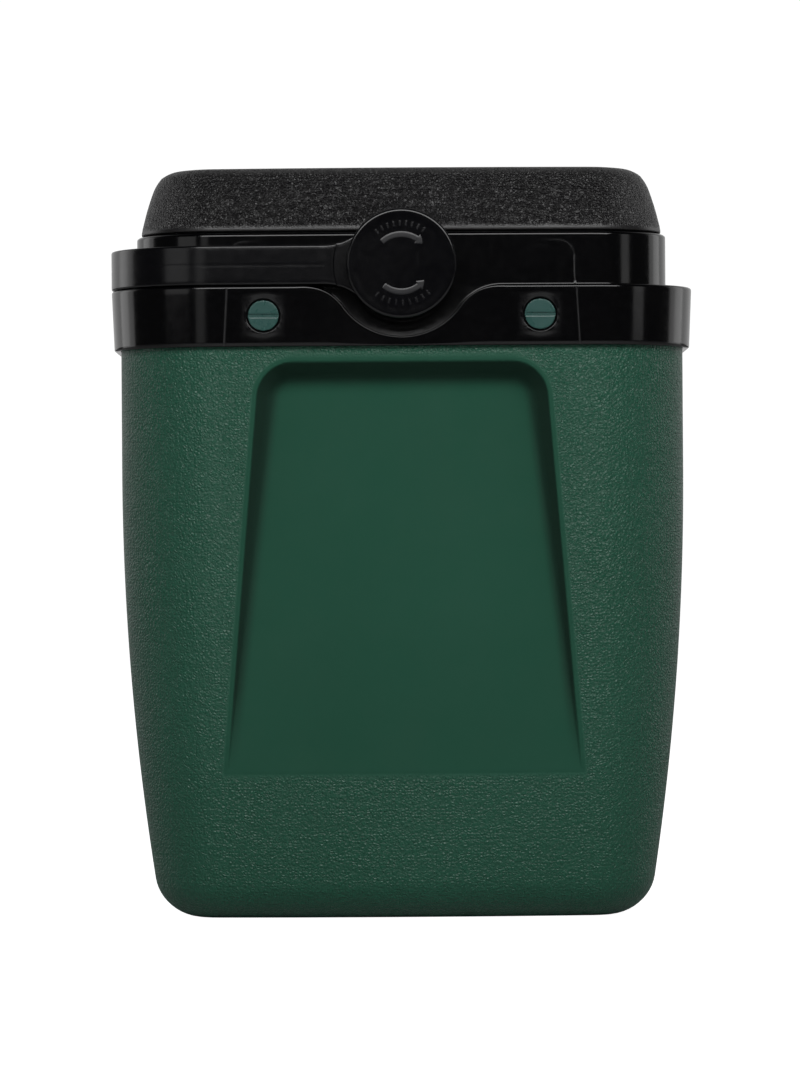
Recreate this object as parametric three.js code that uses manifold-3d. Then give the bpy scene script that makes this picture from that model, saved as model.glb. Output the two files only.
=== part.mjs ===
// Insulated carrying box: a tapered green tub with a black collar, a lift-off lid
// and a carrying handle that swings over the lid about two capped pivots.
// Millimetres, +Z up, +Y along the long side. The origin is the middle of the footprint.

import * as THREE from 'three';
import { mergeVertices } from 'three/addons/utils/BufferGeometryUtils.js';
import Module from 'manifold-3d';

const wasm = await Module();
wasm.setup();

// Clearance kept between two pieces that touch.
const GAP = 0.3;

// Plan of the tub under the collar. Every other plan is this one moved in or out.
const HALF_WIDTH = 146.6;
const HALF_LENGTH = 196.1;
const CORNER_RADIUS = 48.2;
const END_BOW = 5;
const SIDE_BOW = 2.5;
const CORNER_STEPS = 6;
const END_STEPS = 4;
const SIDE_STEPS = 2;

// Tub.
const WALL = 3;
const RIM_Z = 319.5;
const TAPER_START_Z = 230;
const TAPER_DIVISOR = 2800;
const FOOT_RADIUS = 20;

// Hand recess in each end of the tub, deepest at its top and a shallow step at its foot.
const RECESS_FOOT_Z = 76.9;
const RECESS_TOP_Z = 284.6;
const RECESS_FOOT_HALF_WIDTH = 90;
const RECESS_TOP_HALF_WIDTH = 72.6;
const RECESS_CORNER = 17;
const RECESS_DEPTH = 20;
const RECESS_FOOT_DEPTH = 0.6;
const RECESS_DRAFT = 0.38;

// Collar: a skirt over the tub's rim, a ledge that carries the handle, and a neck.
const SKIRT_FOOT_Z = 292.3;
const SKIRT_FOOT_OFFSET = 3.4;
const SKIRT_TOP_OFFSET = 4.7;
const LEDGE_Z = 323.2;
const NECK_OFFSET = -8.4;
const NECK_TOP_Z = 351.2;
const COLLAR_WALL = 3;
const LEDGE_ROUNDING = 3;
const NECK_ROUNDING = 4.2;
const MOUTH_OFFSET = -27.2;
const MOUTH_ROUNDING = 12;

// Handle and its pivots.
const PIVOT_Z = 333.5;
const ARM_HALF_HEIGHT = 10;
const HANDLE_OUTER_OFFSET = 4.7;
const HANDLE_INNER_OFFSET = -3.9;
const EYE_RADIUS = 27;
const EYE_BLEND_START = 39;
const EYE_STEP_RADIUS = 34.3;
const EYE_STEP_DEPTH = 0.8;
const STEM_RADIUS = 8;
const POCKET_RADIUS = 36.5;
const POCKET_BLEND = 26;
const STEM_LENGTH = 22;
const STEM_GROOVE_DEPTH = 2;
const CLIP_THICKNESS = 1.6;
const CLIP_RADIUS = 11.5;
const CLIP_OPENING_ANGLE = 0.6;

// Pivot cap: a dished face with two raised arrows, inside a ring with a sloped rim.
const CAP_RADIUS = 27.8;
const CAP_THICKNESS = 7.7;
const CAP_DISH_RADIUS = 21.5;
const CAP_DISH_DEPTH = 0.5;
const CAP_RING_INNER = 23;
const CAP_RING_OUTER = 25.6;
const ARROW_RADIUS = 14.4;
const ARROW_HALF_WIDTH = 1;
const ARROW_HEAD_HALF_WIDTH = 2.6;
const ARROW_HEAD_ANGLE = 0.24;

// Screws through the collar into the tub, two at each end.
const SCREW_X = 70;
const SCREW_Z = 308;
const SCREW_HEAD_RADIUS = 7.9;
const SCREW_SEAT_RADIUS = 8.6;
const SCREW_SEAT_DEPTH = 1.7;
const SCREW_HEAD_THICKNESS = 1.4;
const SCREW_SHANK_RADIUS = 4;
const SCREW_LENGTH = 17;
const SLOT_WIDTH = 1.5;
const SLOT_DEPTH = 0.8;
const NUT_SIDE = 14;
const NUT_THICKNESS = 5;

// Inner liner and the insulation around it.
const LINER_WALL = 2.5;
const LINER_FLOOR_Z = 28;
const LINER_TOP_Z = NECK_TOP_Z - COLLAR_WALL - GAP;
const LINER_TOP_OFFSET = -28.2;
const LINER_FLOOR_OFFSET = -36;
const LINER_FLANGE_OFFSET = -20;
const LINER_FLOOR_ROUNDING = 9;
const FOAM_TOP_Z = 316;

// Lid.
const LID_FOOT_Z = NECK_TOP_Z + GAP;
const LID_TOP_Z = 385.6;
const LID_WALL = 2.5;
const LID_EDGE_OFFSET = -10.8;
const LID_EDGE_ROUNDING = 0.8;
const PLUG_OFFSET = -32.2;
const PLUG_FOOT_Z = 334;
const TRAY_WALL = 2;

const materials = {
  green: plastic(0x2c5442, 0.6),
  greenTrim: plastic(0x32504c, 0.45),
  black: plastic(0x0b0b0e, 0.22),
  blackGrain: plastic(0x1c1b1d, 0.5),
  white: plastic(0xdfe2e0, 0.4),
  foam: plastic(0xe9e2c4, 0.9),
  rubber: plastic(0x3a3c3d, 0.8),
  steel: new THREE.MeshStandardMaterial({ color: 0xb4b8bb, roughness: 0.3, metalness: 1 }),
};

function plastic(color, roughness) {
  return new THREE.MeshStandardMaterial({ color, roughness, metalness: 0 });
}

// ---- Solids ---------------------------------------------------------------

// Turn a closed three.js geometry into a manifold solid.
function solid(geometry) {
  geometry.deleteAttribute('normal');
  geometry.deleteAttribute('uv');
  const merged = mergeVertices(geometry);
  const corners = Array.from(merged.index.array);
  const kept = [];
  for (let i = 0; i < corners.length; i += 3) {
    const [a, b, c] = corners.slice(i, i + 3);
    if (a !== b && b !== c && c !== a) {
      kept.push(a, b, c);
    }
  }
  return new wasm.Manifold(new wasm.Mesh({
    numProp: 3,
    vertProperties: new Float32Array(merged.attributes.position.array),
    triVerts: new Uint32Array(kept),
  }));
}

// Turn a manifold solid back into a three.js geometry.
function geometryOf(shape) {
  const mesh = shape.getMesh();
  const geometry = new THREE.BufferGeometry();
  const position = new THREE.BufferAttribute(new Float32Array(mesh.vertProperties), 3);
  geometry.setAttribute('position', position);
  geometry.setIndex(new THREE.BufferAttribute(new Uint32Array(mesh.triVerts), 1));
  geometry.computeVertexNormals();
  return geometry;
}

// Rounded rectangle with gently bowed sides, moved out by offset. Counter-clockwise.
function outline(offset, rounding = 0) {
  const a = HALF_WIDTH + offset;
  const b = HALF_LENGTH + offset;
  const r = CORNER_RADIUS + offset + rounding;
  const corners = [[1, 1], [-1, 1], [-1, -1], [1, -1]];
  const points = [];
  corners.forEach(([sx, sy], quarter) => {
    for (let i = 0; i <= CORNER_STEPS; i++) {
      const angle = (quarter + i / CORNER_STEPS) * Math.PI / 2;
      const x = sx * (a - r) + r * Math.cos(angle);
      const y = sy * (b - r) + r * Math.sin(angle);
      points.push(new THREE.Vector2(x, y));
    }
    const [nx, ny] = corners[(quarter + 1) % 4];
    const start = points[points.length - 1];
    const along = (quarter + 1) * Math.PI / 2;
    const end = new THREE.Vector2(
      nx * (a - r) + r * Math.cos(along),
      ny * (b - r) + r * Math.sin(along),
    );
    const steps = quarter % 2 === 0 ? END_STEPS : SIDE_STEPS;
    for (let i = 1; i < steps; i++) {
      points.push(start.clone().lerp(end, i / steps));
    }
  });
  return points.map(({ x, y }) => new THREE.Vector2(
    x - SIDE_BOW * (x / a) * (y / b) ** 2,
    y - END_BOW * (y / b) * (x / a) ** 2,
  ));
}

// Closed solid through a stack of rings, each [offset, z, rounding], from the bottom up.
function loft(rings) {
  const plans = rings.map(([offset, , rounding]) => outline(offset, rounding));
  const count = plans[0].length;
  const last = rings.length - 1;
  const position = [];
  const index = [];
  plans.forEach((plan, level) => {
    plan.forEach(({ x, y }) => position.push(x, y, rings[level][1]));
  });
  position.push(0, 0, rings[0][1], 0, 0, rings[last][1]);
  const foot = count * rings.length;
  for (let i = 0; i < count; i++) {
    const next = (i + 1) % count;
    index.push(foot, next, i);
    index.push(foot + 1, last * count + i, last * count + next);
    for (let level = 0; level < last; level++) {
      const low = level * count;
      const high = low + count;
      index.push(low + i, low + next, high + next);
      index.push(low + i, high + next, high + i);
    }
  }
  const geometry = new THREE.BufferGeometry();
  geometry.setAttribute('position', new THREE.Float32BufferAttribute(position, 3));
  geometry.setIndex(index);
  return solid(geometry);
}

// Shape drawn in X and Z, filled from y0 to y1.
function prism(shape, y0, y1, curveSegments) {
  const geometry = new THREE.ExtrudeGeometry(shape, {
    depth: y1 - y0,
    bevelEnabled: false,
    curveSegments,
  });
  return solid(geometry.rotateX(Math.PI / 2).translate(0, y1, 0));
}

// Round bar along Y through (x, z).
function bar(x, z, radius, y0, y1, segments = 20) {
  const geometry = new THREE.CylinderGeometry(radius, radius, y1 - y0, segments);
  return solid(geometry.translate(x, (y0 + y1) / 2, z));
}

// Profile of [radius, y] pairs turned about the Y axis.
function turned(profile, segments) {
  const points = profile.map(([r, y]) => new THREE.Vector2(r, y));
  return solid(new THREE.LatheGeometry(points, segments));
}

// The same solid on the other end of the box.
function opposite(shape) {
  return shape.rotate([0, 0, 180]);
}

function bothEnds(shape) {
  return shape.add(opposite(shape));
}

// ---- Tub ------------------------------------------------------------------

// How far the tub's wall stands out from the plan under the collar, at height z.
function tubOffset(z) {
  const below = Math.max(0, TAPER_START_Z - z);
  return -(below ** 2) / TAPER_DIVISOR;
}

// Rings of the tub's surface, moved in by inset, with a rounded foot.
function tubRings(inset, top) {
  const rings = [];
  const radius = FOOT_RADIUS - inset;
  const footSteps = 3;
  for (let i = 0; i < footSteps; i++) {
    const angle = (i / footSteps) * Math.PI / 2;
    const z = inset + radius * (1 - Math.cos(angle));
    rings.push([tubOffset(z) - inset - radius * (1 - Math.sin(angle)), z]);
  }
  const sides = inset > 0 ? [50, RECESS_FOOT_Z, 140] : [50, RECESS_FOOT_Z, 110, 150];
  for (const z of [FOOT_RADIUS, ...sides, TAPER_START_Z]) {
    rings.push([tubOffset(z) - inset, z]);
  }
  rings.push([-inset, top]);
  return rings;
}

// 0 at the recess's foot and 1 at its top.
function recessRise(z) {
  return (z - RECESS_FOOT_Z) / (RECESS_TOP_Z - RECESS_FOOT_Z);
}

// Half-width of the recess at height z, with round upper corners.
function recessHalfWidth(z) {
  const rise = recessRise(z);
  const straight = THREE.MathUtils.lerp(RECESS_FOOT_HALF_WIDTH, RECESS_TOP_HALF_WIDTH, rise);
  const above = Math.max(0, z - (RECESS_TOP_Z - RECESS_CORNER));
  return straight - RECESS_CORNER + Math.sqrt(RECESS_CORNER ** 2 - above ** 2);
}

// Heights of the recess rows: closer together in the round corners.
function recessRows() {
  const rows = [RECESS_FOOT_Z, 110, 150, TAPER_START_Z];
  const cornerSteps = 4;
  for (let i = 0; i <= cornerSteps; i++) {
    const angle = (i / cornerSteps) * Math.PI / 2;
    rows.push(RECESS_TOP_Z - RECESS_CORNER * (1 - Math.sin(angle)));
  }
  return rows;
}

// Point of the recess, u from -1 to 1 across, moved out of the tub's face by depth.
function recessPoint(u, z, depth, grow) {
  const draft = RECESS_DRAFT * depth;
  const halfWidth = recessHalfWidth(z) + grow - draft;
  const x = u * halfWidth;
  const offset = tubOffset(z);
  const bow = END_BOW * (x / (HALF_WIDTH + offset)) ** 2;
  const y = -(HALF_LENGTH + offset) + bow + depth + grow;
  const rise = recessRise(z);
  return [x, y, z - grow * (1 - rise) + rise * (grow - draft)];
}

// Solid that hollows the recess out of one end; grow makes it larger all round.
function recessTool(grow) {
  const rows = recessRows();
  const across = 4;
  const outside = 14;
  const layer = rows.length * (across + 1);
  const position = [];
  for (const floor of [false, true]) {
    for (const z of rows) {
      const inside = THREE.MathUtils.lerp(RECESS_FOOT_DEPTH, RECESS_DEPTH, recessRise(z));
      const depth = floor ? inside : -outside;
      for (let i = 0; i <= across; i++) {
        position.push(...recessPoint(2 * i / across - 1, z, depth, grow));
      }
    }
  }
  const index = [];
  const quad = (a, b, c, d) => index.push(a, b, c, a, c, d);
  const at = (row, i, floor) => floor * layer + row * (across + 1) + i;
  for (let row = 0; row < rows.length - 1; row++) {
    for (let i = 0; i < across; i++) {
      quad(at(row, i, 0), at(row, i + 1, 0), at(row + 1, i + 1, 0), at(row + 1, i, 0));
      quad(at(row, i, 1), at(row + 1, i, 1), at(row + 1, i + 1, 1), at(row, i + 1, 1));
    }
    quad(at(row, 0, 0), at(row + 1, 0, 0), at(row + 1, 0, 1), at(row, 0, 1));
    quad(at(row, across, 0), at(row, across, 1), at(row + 1, across, 1), at(row + 1, across, 0));
  }
  const top = rows.length - 1;
  for (let i = 0; i < across; i++) {
    quad(at(0, i, 0), at(0, i, 1), at(0, i + 1, 1), at(0, i + 1, 0));
    quad(at(top, i, 0), at(top, i + 1, 0), at(top, i + 1, 1), at(top, i, 1));
  }
  const geometry = new THREE.BufferGeometry();
  geometry.setAttribute('position', new THREE.Float32BufferAttribute(position, 3));
  geometry.setIndex(index);
  return solid(geometry);
}

// Half-round pocket that the handle's eye turns in, open upwards, in X and Z.
function pocketShape(grow) {
  const radius = POCKET_RADIUS + grow;
  const blend = POCKET_BLEND - grow;
  const ledge = LEDGE_Z - PIVOT_Z - grow;
  const blendZ = ledge - blend;
  const blendX = Math.sqrt((radius + blend) ** 2 - blendZ ** 2);
  const lean = Math.atan2(-blendZ, blendX);
  const wide = blendX + 1;
  const shape = new THREE.Shape();
  shape.moveTo(-wide, PIVOT_Z + 60);
  shape.lineTo(-wide, PIVOT_Z + ledge);
  shape.absarc(-blendX, PIVOT_Z + blendZ, blend, Math.PI / 2, lean, true);
  shape.absarc(0, PIVOT_Z, radius, Math.PI + lean, 2 * Math.PI - lean, false);
  shape.absarc(blendX, PIVOT_Z + blendZ, blend, Math.PI - lean, Math.PI / 2, true);
  shape.lineTo(wide, PIVOT_Z + 60);
  shape.closePath();
  return shape;
}

// Pocket space at one end, as far in as the column with the given offset.
function pocketTool(grow, columnOffset) {
  const tool = prism(pocketShape(grow), -HALF_LENGTH - 20, -HALF_LENGTH + 40, 6);
  return tool.subtract(loft([[columnOffset, SKIRT_FOOT_Z - 20], [columnOffset, LID_TOP_Z + 40]]));
}

// y of the end face at x, for a plan with the given offset.
function endFaceY(x, offset) {
  return -(HALF_LENGTH + offset) + END_BOW * (x / (HALF_WIDTH + offset)) ** 2;
}

const screwFaceY = endFaceY(SCREW_X, (SKIRT_FOOT_OFFSET + SKIRT_TOP_OFFSET) / 2);
const screwSeatY = screwFaceY + SCREW_SEAT_DEPTH;
const nutY = endFaceY(SCREW_X + NUT_SIDE / 2, -WALL) + GAP;

// Clearance holes for the four screw shanks.
function screwHoles() {
  const hole = (x) => bar(x, SCREW_Z, SCREW_SHANK_RADIUS + GAP, -HALF_LENGTH - 10,
    screwSeatY + SCREW_LENGTH + 2, 10);
  return bothEnds(hole(SCREW_X).add(hole(-SCREW_X)));
}

function outerBody() {
  const cavity = loft(tubRings(WALL, RIM_Z + 1)).subtract(bothEnds(recessTool(WALL)));
  return loft(tubRings(0, RIM_Z))
    .subtract(bothEnds(recessTool(0)))
    .subtract(cavity)
    .subtract(bothEnds(pocketTool(COLLAR_WALL + GAP, NECK_OFFSET - 20)))
    .subtract(screwHoles());
}

// ---- Liner and insulation -------------------------------------------------

// Rings of the liner's surface, moved in by inset.
function linerRings(inset, top) {
  const floor = LINER_FLOOR_Z + inset;
  const mid = LINER_FLOOR_ROUNDING * (1 - Math.SQRT1_2);
  return [
    [LINER_FLOOR_OFFSET - inset - LINER_FLOOR_ROUNDING, floor, MOUTH_ROUNDING],
    [LINER_FLOOR_OFFSET - inset - mid, floor + mid, MOUTH_ROUNDING],
    [LINER_FLOOR_OFFSET - inset, floor + LINER_FLOOR_ROUNDING, MOUTH_ROUNDING],
    [LINER_TOP_OFFSET - inset, LINER_TOP_Z, MOUTH_ROUNDING],
    [LINER_TOP_OFFSET - inset, top, MOUTH_ROUNDING],
  ];
}

function innerLiner() {
  const flange = loft([
    [LINER_FLANGE_OFFSET, LINER_TOP_Z - LINER_WALL],
    [LINER_FLANGE_OFFSET, LINER_TOP_Z],
  ]);
  return loft(linerRings(0, LINER_TOP_Z).slice(0, -1))
    .add(flange)
    .subtract(loft(linerRings(LINER_WALL, LINER_TOP_Z + 1)));
}

function bodyInsulation() {
  const inset = WALL + GAP;
  const nutRoom = new THREE.BoxGeometry(NUT_SIDE + 1, NUT_THICKNESS + 8, NUT_SIDE + 1);
  const nutSpace = solid(nutRoom.translate(SCREW_X, nutY + NUT_THICKNESS / 2, SCREW_Z));
  return loft(tubRings(inset, FOAM_TOP_Z))
    .subtract(bothEnds(recessTool(inset)))
    .subtract(loft(linerRings(-GAP, LINER_TOP_Z + 5)))
    .subtract(bothEnds(pocketTool(COLLAR_WALL + GAP, NECK_OFFSET - COLLAR_WALL - GAP)))
    .subtract(bothEnds(nutSpace.add(nutSpace.translate([-2 * SCREW_X, 0, 0]))))
    .subtract(screwHoles());
}

// ---- Collar ---------------------------------------------------------------

function topCollar() {
  const neckInner = NECK_OFFSET - COLLAR_WALL;
  const outside = loft([
    [SKIRT_FOOT_OFFSET, SKIRT_FOOT_Z],
    [SKIRT_TOP_OFFSET, LEDGE_Z - LEDGE_ROUNDING],
    [SKIRT_TOP_OFFSET - 0.29 * LEDGE_ROUNDING, LEDGE_Z - 0.29 * LEDGE_ROUNDING],
    [SKIRT_TOP_OFFSET - LEDGE_ROUNDING, LEDGE_Z],
    [NECK_OFFSET, LEDGE_Z],
    [NECK_OFFSET, NECK_TOP_Z - NECK_ROUNDING],
    [NECK_OFFSET - 0.29 * NECK_ROUNDING, NECK_TOP_Z - 0.29 * NECK_ROUNDING],
    [NECK_OFFSET - NECK_ROUNDING, NECK_TOP_Z],
  ]);
  const pocketWalls = bothEnds(pocketTool(COLLAR_WALL, neckInner));
  const underLedge = loft([
    [GAP, SKIRT_FOOT_Z - 1],
    [GAP, LEDGE_Z - COLLAR_WALL],
  ]).subtract(pocketWalls);
  const insideNeck = loft([
    [neckInner, SKIRT_FOOT_Z - 1],
    [neckInner, NECK_TOP_Z - COLLAR_WALL],
  ]);
  const mouth = loft([
    [MOUTH_OFFSET, NECK_TOP_Z - 10, MOUTH_ROUNDING],
    [MOUTH_OFFSET, NECK_TOP_Z + 1, MOUTH_ROUNDING],
  ]);
  const seat = (x) => bar(x, SCREW_Z, SCREW_SEAT_RADIUS, -HALF_LENGTH - 10, screwSeatY, 18);
  const stemHole = bar(0, PIVOT_Z, STEM_RADIUS + GAP, -HALF_LENGTH, -HALF_LENGTH + 20, 18);
  return outside
    .subtract(bothEnds(pocketTool(0, NECK_OFFSET)))
    .subtract(underLedge)
    .subtract(insideNeck)
    .subtract(mouth)
    .subtract(bothEnds(seat(SCREW_X).add(seat(-SCREW_X)).add(stemHole)))
    .subtract(screwHoles());
}

function collarScrew() {
  const body = turned([
    [0, SCREW_LENGTH],
    [1.2, SCREW_LENGTH],
    [3.2, SCREW_LENGTH - 3],
    [SCREW_SHANK_RADIUS, SCREW_LENGTH - 4],
    [SCREW_SHANK_RADIUS, GAP],
    [SCREW_HEAD_RADIUS, GAP],
    [SCREW_HEAD_RADIUS, GAP - SCREW_HEAD_THICKNESS + 0.4],
    [SCREW_HEAD_RADIUS - 0.4, GAP - SCREW_HEAD_THICKNESS],
    [0, GAP - SCREW_HEAD_THICKNESS],
  ].map(([r, y]) => [r, y - 2 * GAP]).reverse(), 18);
  const slot = solid(new THREE.BoxGeometry(2 * SCREW_HEAD_RADIUS + 2, 2 * SLOT_DEPTH, SLOT_WIDTH));
  return body.subtract(slot.translate([0, -GAP - SCREW_HEAD_THICKNESS, 0]));
}

function collarNut() {
  const plate = solid(new THREE.BoxGeometry(NUT_SIDE, NUT_THICKNESS, NUT_SIDE));
  return plate.subtract(bar(0, 0, SCREW_SHANK_RADIUS + GAP, -NUT_THICKNESS, NUT_THICKNESS, 10));
}

// ---- Lid ------------------------------------------------------------------

// Slanted side and rounded upper edge of the lid: [offset, z, share of an inset that lowers it].
const LID_SIDE = [
  [-11.2, 355.3, 0],
  [-13.6, 364.7, 0],
  [-17, 375, 0.3],
  [-20, 380.2, 0.6],
  [-22.2, 382.3, 0.8],
  [-26.6, 384.6, 1],
  [-32, LID_TOP_Z, 1],
];

// Rings of the lid's side, moved in by inset.
function lidRings(inset) {
  return LID_SIDE.map(([offset, z, share]) => [offset - inset, z - share * inset]);
}

function lidCover() {
  const outside = loft([
    [LID_EDGE_OFFSET - LID_EDGE_ROUNDING, LID_FOOT_Z],
    [LID_EDGE_OFFSET, LID_FOOT_Z + LID_EDGE_ROUNDING],
    ...lidRings(0),
  ]);
  const inside = loft([
    [LID_EDGE_OFFSET - LID_WALL, LID_FOOT_Z - 1],
    ...lidRings(LID_WALL),
  ]);
  return outside.subtract(inside);
}

function lidLiner() {
  const flangeOffset = LID_EDGE_OFFSET - LID_WALL - 2 * GAP;
  const flange = loft([
    [flangeOffset, LID_FOOT_Z],
    [flangeOffset, LID_FOOT_Z + TRAY_WALL],
  ]);
  const plug = loft([
    [PLUG_OFFSET - 4, PLUG_FOOT_Z, MOUTH_ROUNDING],
    [PLUG_OFFSET - 1, PLUG_FOOT_Z + 1, MOUTH_ROUNDING],
    [PLUG_OFFSET, PLUG_FOOT_Z + 4, MOUTH_ROUNDING],
    [PLUG_OFFSET, LID_FOOT_Z + 1, MOUTH_ROUNDING],
  ]);
  const hollow = loft([
    [PLUG_OFFSET - 4 - TRAY_WALL, PLUG_FOOT_Z + TRAY_WALL, MOUTH_ROUNDING],
    [PLUG_OFFSET - TRAY_WALL, PLUG_FOOT_Z + 4 + TRAY_WALL, MOUTH_ROUNDING],
    [PLUG_OFFSET - TRAY_WALL, LID_FOOT_Z + 10, MOUTH_ROUNDING],
  ]);
  return plug.add(flange).subtract(hollow);
}

function lidInsulation() {
  const inset = TRAY_WALL + GAP;
  const inTray = loft([
    [PLUG_OFFSET - 4 - inset, PLUG_FOOT_Z + inset, MOUTH_ROUNDING],
    [PLUG_OFFSET - inset, PLUG_FOOT_Z + 4 + inset, MOUTH_ROUNDING],
    [PLUG_OFFSET - inset, LID_FOOT_Z + inset + 2, MOUTH_ROUNDING],
  ]);
  const underCover = loft([
    [LID_EDGE_OFFSET - LID_WALL - 2 * GAP, LID_FOOT_Z + inset],
    ...lidRings(LID_WALL + GAP),
  ]);
  return inTray.add(underCover);
}

function lidSeal() {
  const foot = LINER_TOP_Z + GAP;
  const top = LID_FOOT_Z - GAP;
  const ring = (offset) => loft([
    [offset, foot, MOUTH_ROUNDING],
    [offset, top, MOUTH_ROUNDING],
  ]);
  const inner = loft([
    [PLUG_OFFSET + GAP, foot - 1, MOUTH_ROUNDING],
    [PLUG_OFFSET + GAP, top + 1, MOUTH_ROUNDING],
  ]);
  return ring(MOUTH_OFFSET - GAP).subtract(inner);
}

// ---- Handle and pivots ----------------------------------------------------

// Side view of the arm with its eye, lying to -X, about the pivot.
function armShape() {
  const h = ARM_HALF_HEIGHT;
  const run = EYE_BLEND_START;
  const blend = (run ** 2 + h ** 2 - EYE_RADIUS ** 2) / (2 * (EYE_RADIUS - h));
  const lean = Math.atan2(h + blend, run);
  const far = -HALF_WIDTH - 20;
  const shape = new THREE.Shape();
  shape.moveTo(far, -h);
  shape.lineTo(-run, -h);
  shape.absarc(-run, -h - blend, blend, Math.PI / 2, lean, true);
  shape.absarc(0, 0, EYE_RADIUS, Math.PI + lean, 3 * Math.PI - lean, false);
  shape.absarc(-run, h + blend, blend, -lean, -Math.PI / 2, true);
  shape.lineTo(far, h);
  shape.closePath();
  return shape;
}

function handle() {
  const reach = HALF_LENGTH + 20;
  const side = prism(armShape(), -reach, reach, 10);
  const low = -EYE_RADIUS - 1;
  const ring = loft([[HANDLE_OUTER_OFFSET, low], [HANDLE_OUTER_OFFSET, -low]])
    .subtract(loft([[HANDLE_INNER_OFFSET, low - 1], [HANDLE_INNER_OFFSET, 1 - low]]));
  const stepY = endFaceY(0, HANDLE_OUTER_OFFSET) + EYE_STEP_DEPTH;
  const step = bar(0, 0, EYE_STEP_RADIUS, -reach, stepY, 32);
  const bore = bar(0, 0, STEM_RADIUS + GAP, -reach, reach, 18);
  return ring.intersect(side).subtract(bothEnds(step)).subtract(bore);
}

// Curved arrow raised on the cap's face, between two angles about the pivot.
function arrowShape(from, to) {
  const middle = ARROW_RADIUS;
  const half = ARROW_HALF_WIDTH;
  const head = ARROW_HEAD_HALF_WIDTH;
  const tip = to + Math.sign(to - from) * ARROW_HEAD_ANGLE;
  const clockwise = to < from;
  const shape = new THREE.Shape();
  shape.absarc(0, 0, middle + half, from, to, clockwise);
  shape.lineTo((middle + head) * Math.cos(to), (middle + head) * Math.sin(to));
  shape.lineTo(middle * Math.cos(tip), middle * Math.sin(tip));
  shape.lineTo((middle - head) * Math.cos(to), (middle - head) * Math.sin(to));
  shape.absarc(0, 0, middle - half, to, from, !clockwise);
  shape.closePath();
  return shape;
}

// Cap with its stem: y is 0 on the cap's back face and falls towards its front face.
function pivotCap() {
  const face = -CAP_THICKNESS;
  const neck = endFaceY(0, NECK_OFFSET - COLLAR_WALL) - endFaceY(0, HANDLE_OUTER_OFFSET) + GAP;
  const grooveRadius = STEM_RADIUS - STEM_GROOVE_DEPTH;
  const cap = turned([
    [0, face + CAP_DISH_DEPTH],
    [CAP_DISH_RADIUS, face + CAP_DISH_DEPTH],
    [CAP_RING_INNER, face],
    [CAP_RING_OUTER, face],
    [CAP_RADIUS, face + CAP_RADIUS - CAP_RING_OUTER],
    [CAP_RADIUS, 0],
    [STEM_RADIUS, 0],
    [STEM_RADIUS, neck],
    [grooveRadius, neck + 0.2],
    [grooveRadius, neck + CLIP_THICKNESS + 0.8],
    [STEM_RADIUS, neck + CLIP_THICKNESS + 1],
    [STEM_RADIUS, STEM_LENGTH],
    [0, STEM_LENGTH],
  ], 28);
  const degrees = Math.PI / 180;
  const upper = arrowShape(132 * degrees, 50 * degrees);
  const lower = arrowShape(232 * degrees, 314 * degrees);
  const raised = (shape) => prism(shape, face, face + 1.5, 6);
  return cap.add(raised(upper)).add(raised(lower));
}

// Spring clip in the stem's groove, open at the bottom.
function pivotClip() {
  const start = -Math.PI / 2 + CLIP_OPENING_ANGLE;
  const end = 1.5 * Math.PI - CLIP_OPENING_ANGLE;
  const shape = new THREE.Shape();
  shape.absarc(0, 0, CLIP_RADIUS, start, end, false);
  shape.absarc(0, 0, STEM_RADIUS - STEM_GROOVE_DEPTH + GAP, end, start, true);
  shape.closePath();
  return prism(shape, 0, CLIP_THICKNESS, 12);
}

// ---- Assembly -------------------------------------------------------------

const box = new THREE.Group();

function place(parent, name, shape, material, position = [0, 0, 0], turn = 0) {
  const mesh = new THREE.Mesh(geometryOf(shape), material);
  mesh.name = name;
  mesh.position.set(...position);
  mesh.rotation.z = turn;
  parent.add(mesh);
}

place(box, 'outer_body', outerBody(), materials.green);
place(box, 'body_insulation', bodyInsulation(), materials.foam);
place(box, 'inner_liner', innerLiner(), materials.white);
place(box, 'top_collar', topCollar(), materials.black);
place(box, 'lid_cover', lidCover(), materials.blackGrain);
place(box, 'lid_insulation', lidInsulation(), materials.foam);
place(box, 'lid_liner', lidLiner(), materials.white);
place(box, 'lid_seal', lidSeal(), materials.rubber);
place(box, 'handle', handle(), materials.black, [0, 0, PIVOT_Z]);

const capY = endFaceY(0, HANDLE_OUTER_OFFSET) - GAP;
const clipY = endFaceY(0, NECK_OFFSET - COLLAR_WALL) + 2 * GAP;
for (const [end, turn] of [['front', 0], ['rear', Math.PI]]) {
  const group = new THREE.Group();
  group.rotation.z = turn;
  box.add(group);
  place(group, `pivot_cap_${end}`, pivotCap(), materials.black, [0, capY, PIVOT_Z]);
  place(group, `pivot_clip_${end}`, pivotClip(), materials.steel, [0, clipY, PIVOT_Z]);
  for (const [side, x] of [['left', -SCREW_X], ['right', SCREW_X]]) {
    const screwAt = [x, screwSeatY, SCREW_Z];
    const nutAt = [x, nutY + NUT_THICKNESS / 2, SCREW_Z];
    place(group, `collar_screw_${end}_${side}`, collarScrew(), materials.greenTrim, screwAt);
    place(group, `collar_nut_${end}_${side}`, collarNut(), materials.steel, nutAt);
  }
}

export default box;
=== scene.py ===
"""Looks of an insulated carrying box: green grained tub, black collar, lid and swing handle.

Shapes are worked out in millimetres and turned into metres when a mesh is made.
X runs across the short side, Y along the long side, Z up; the camera looks at the -Y end.
"""

import math

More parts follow.
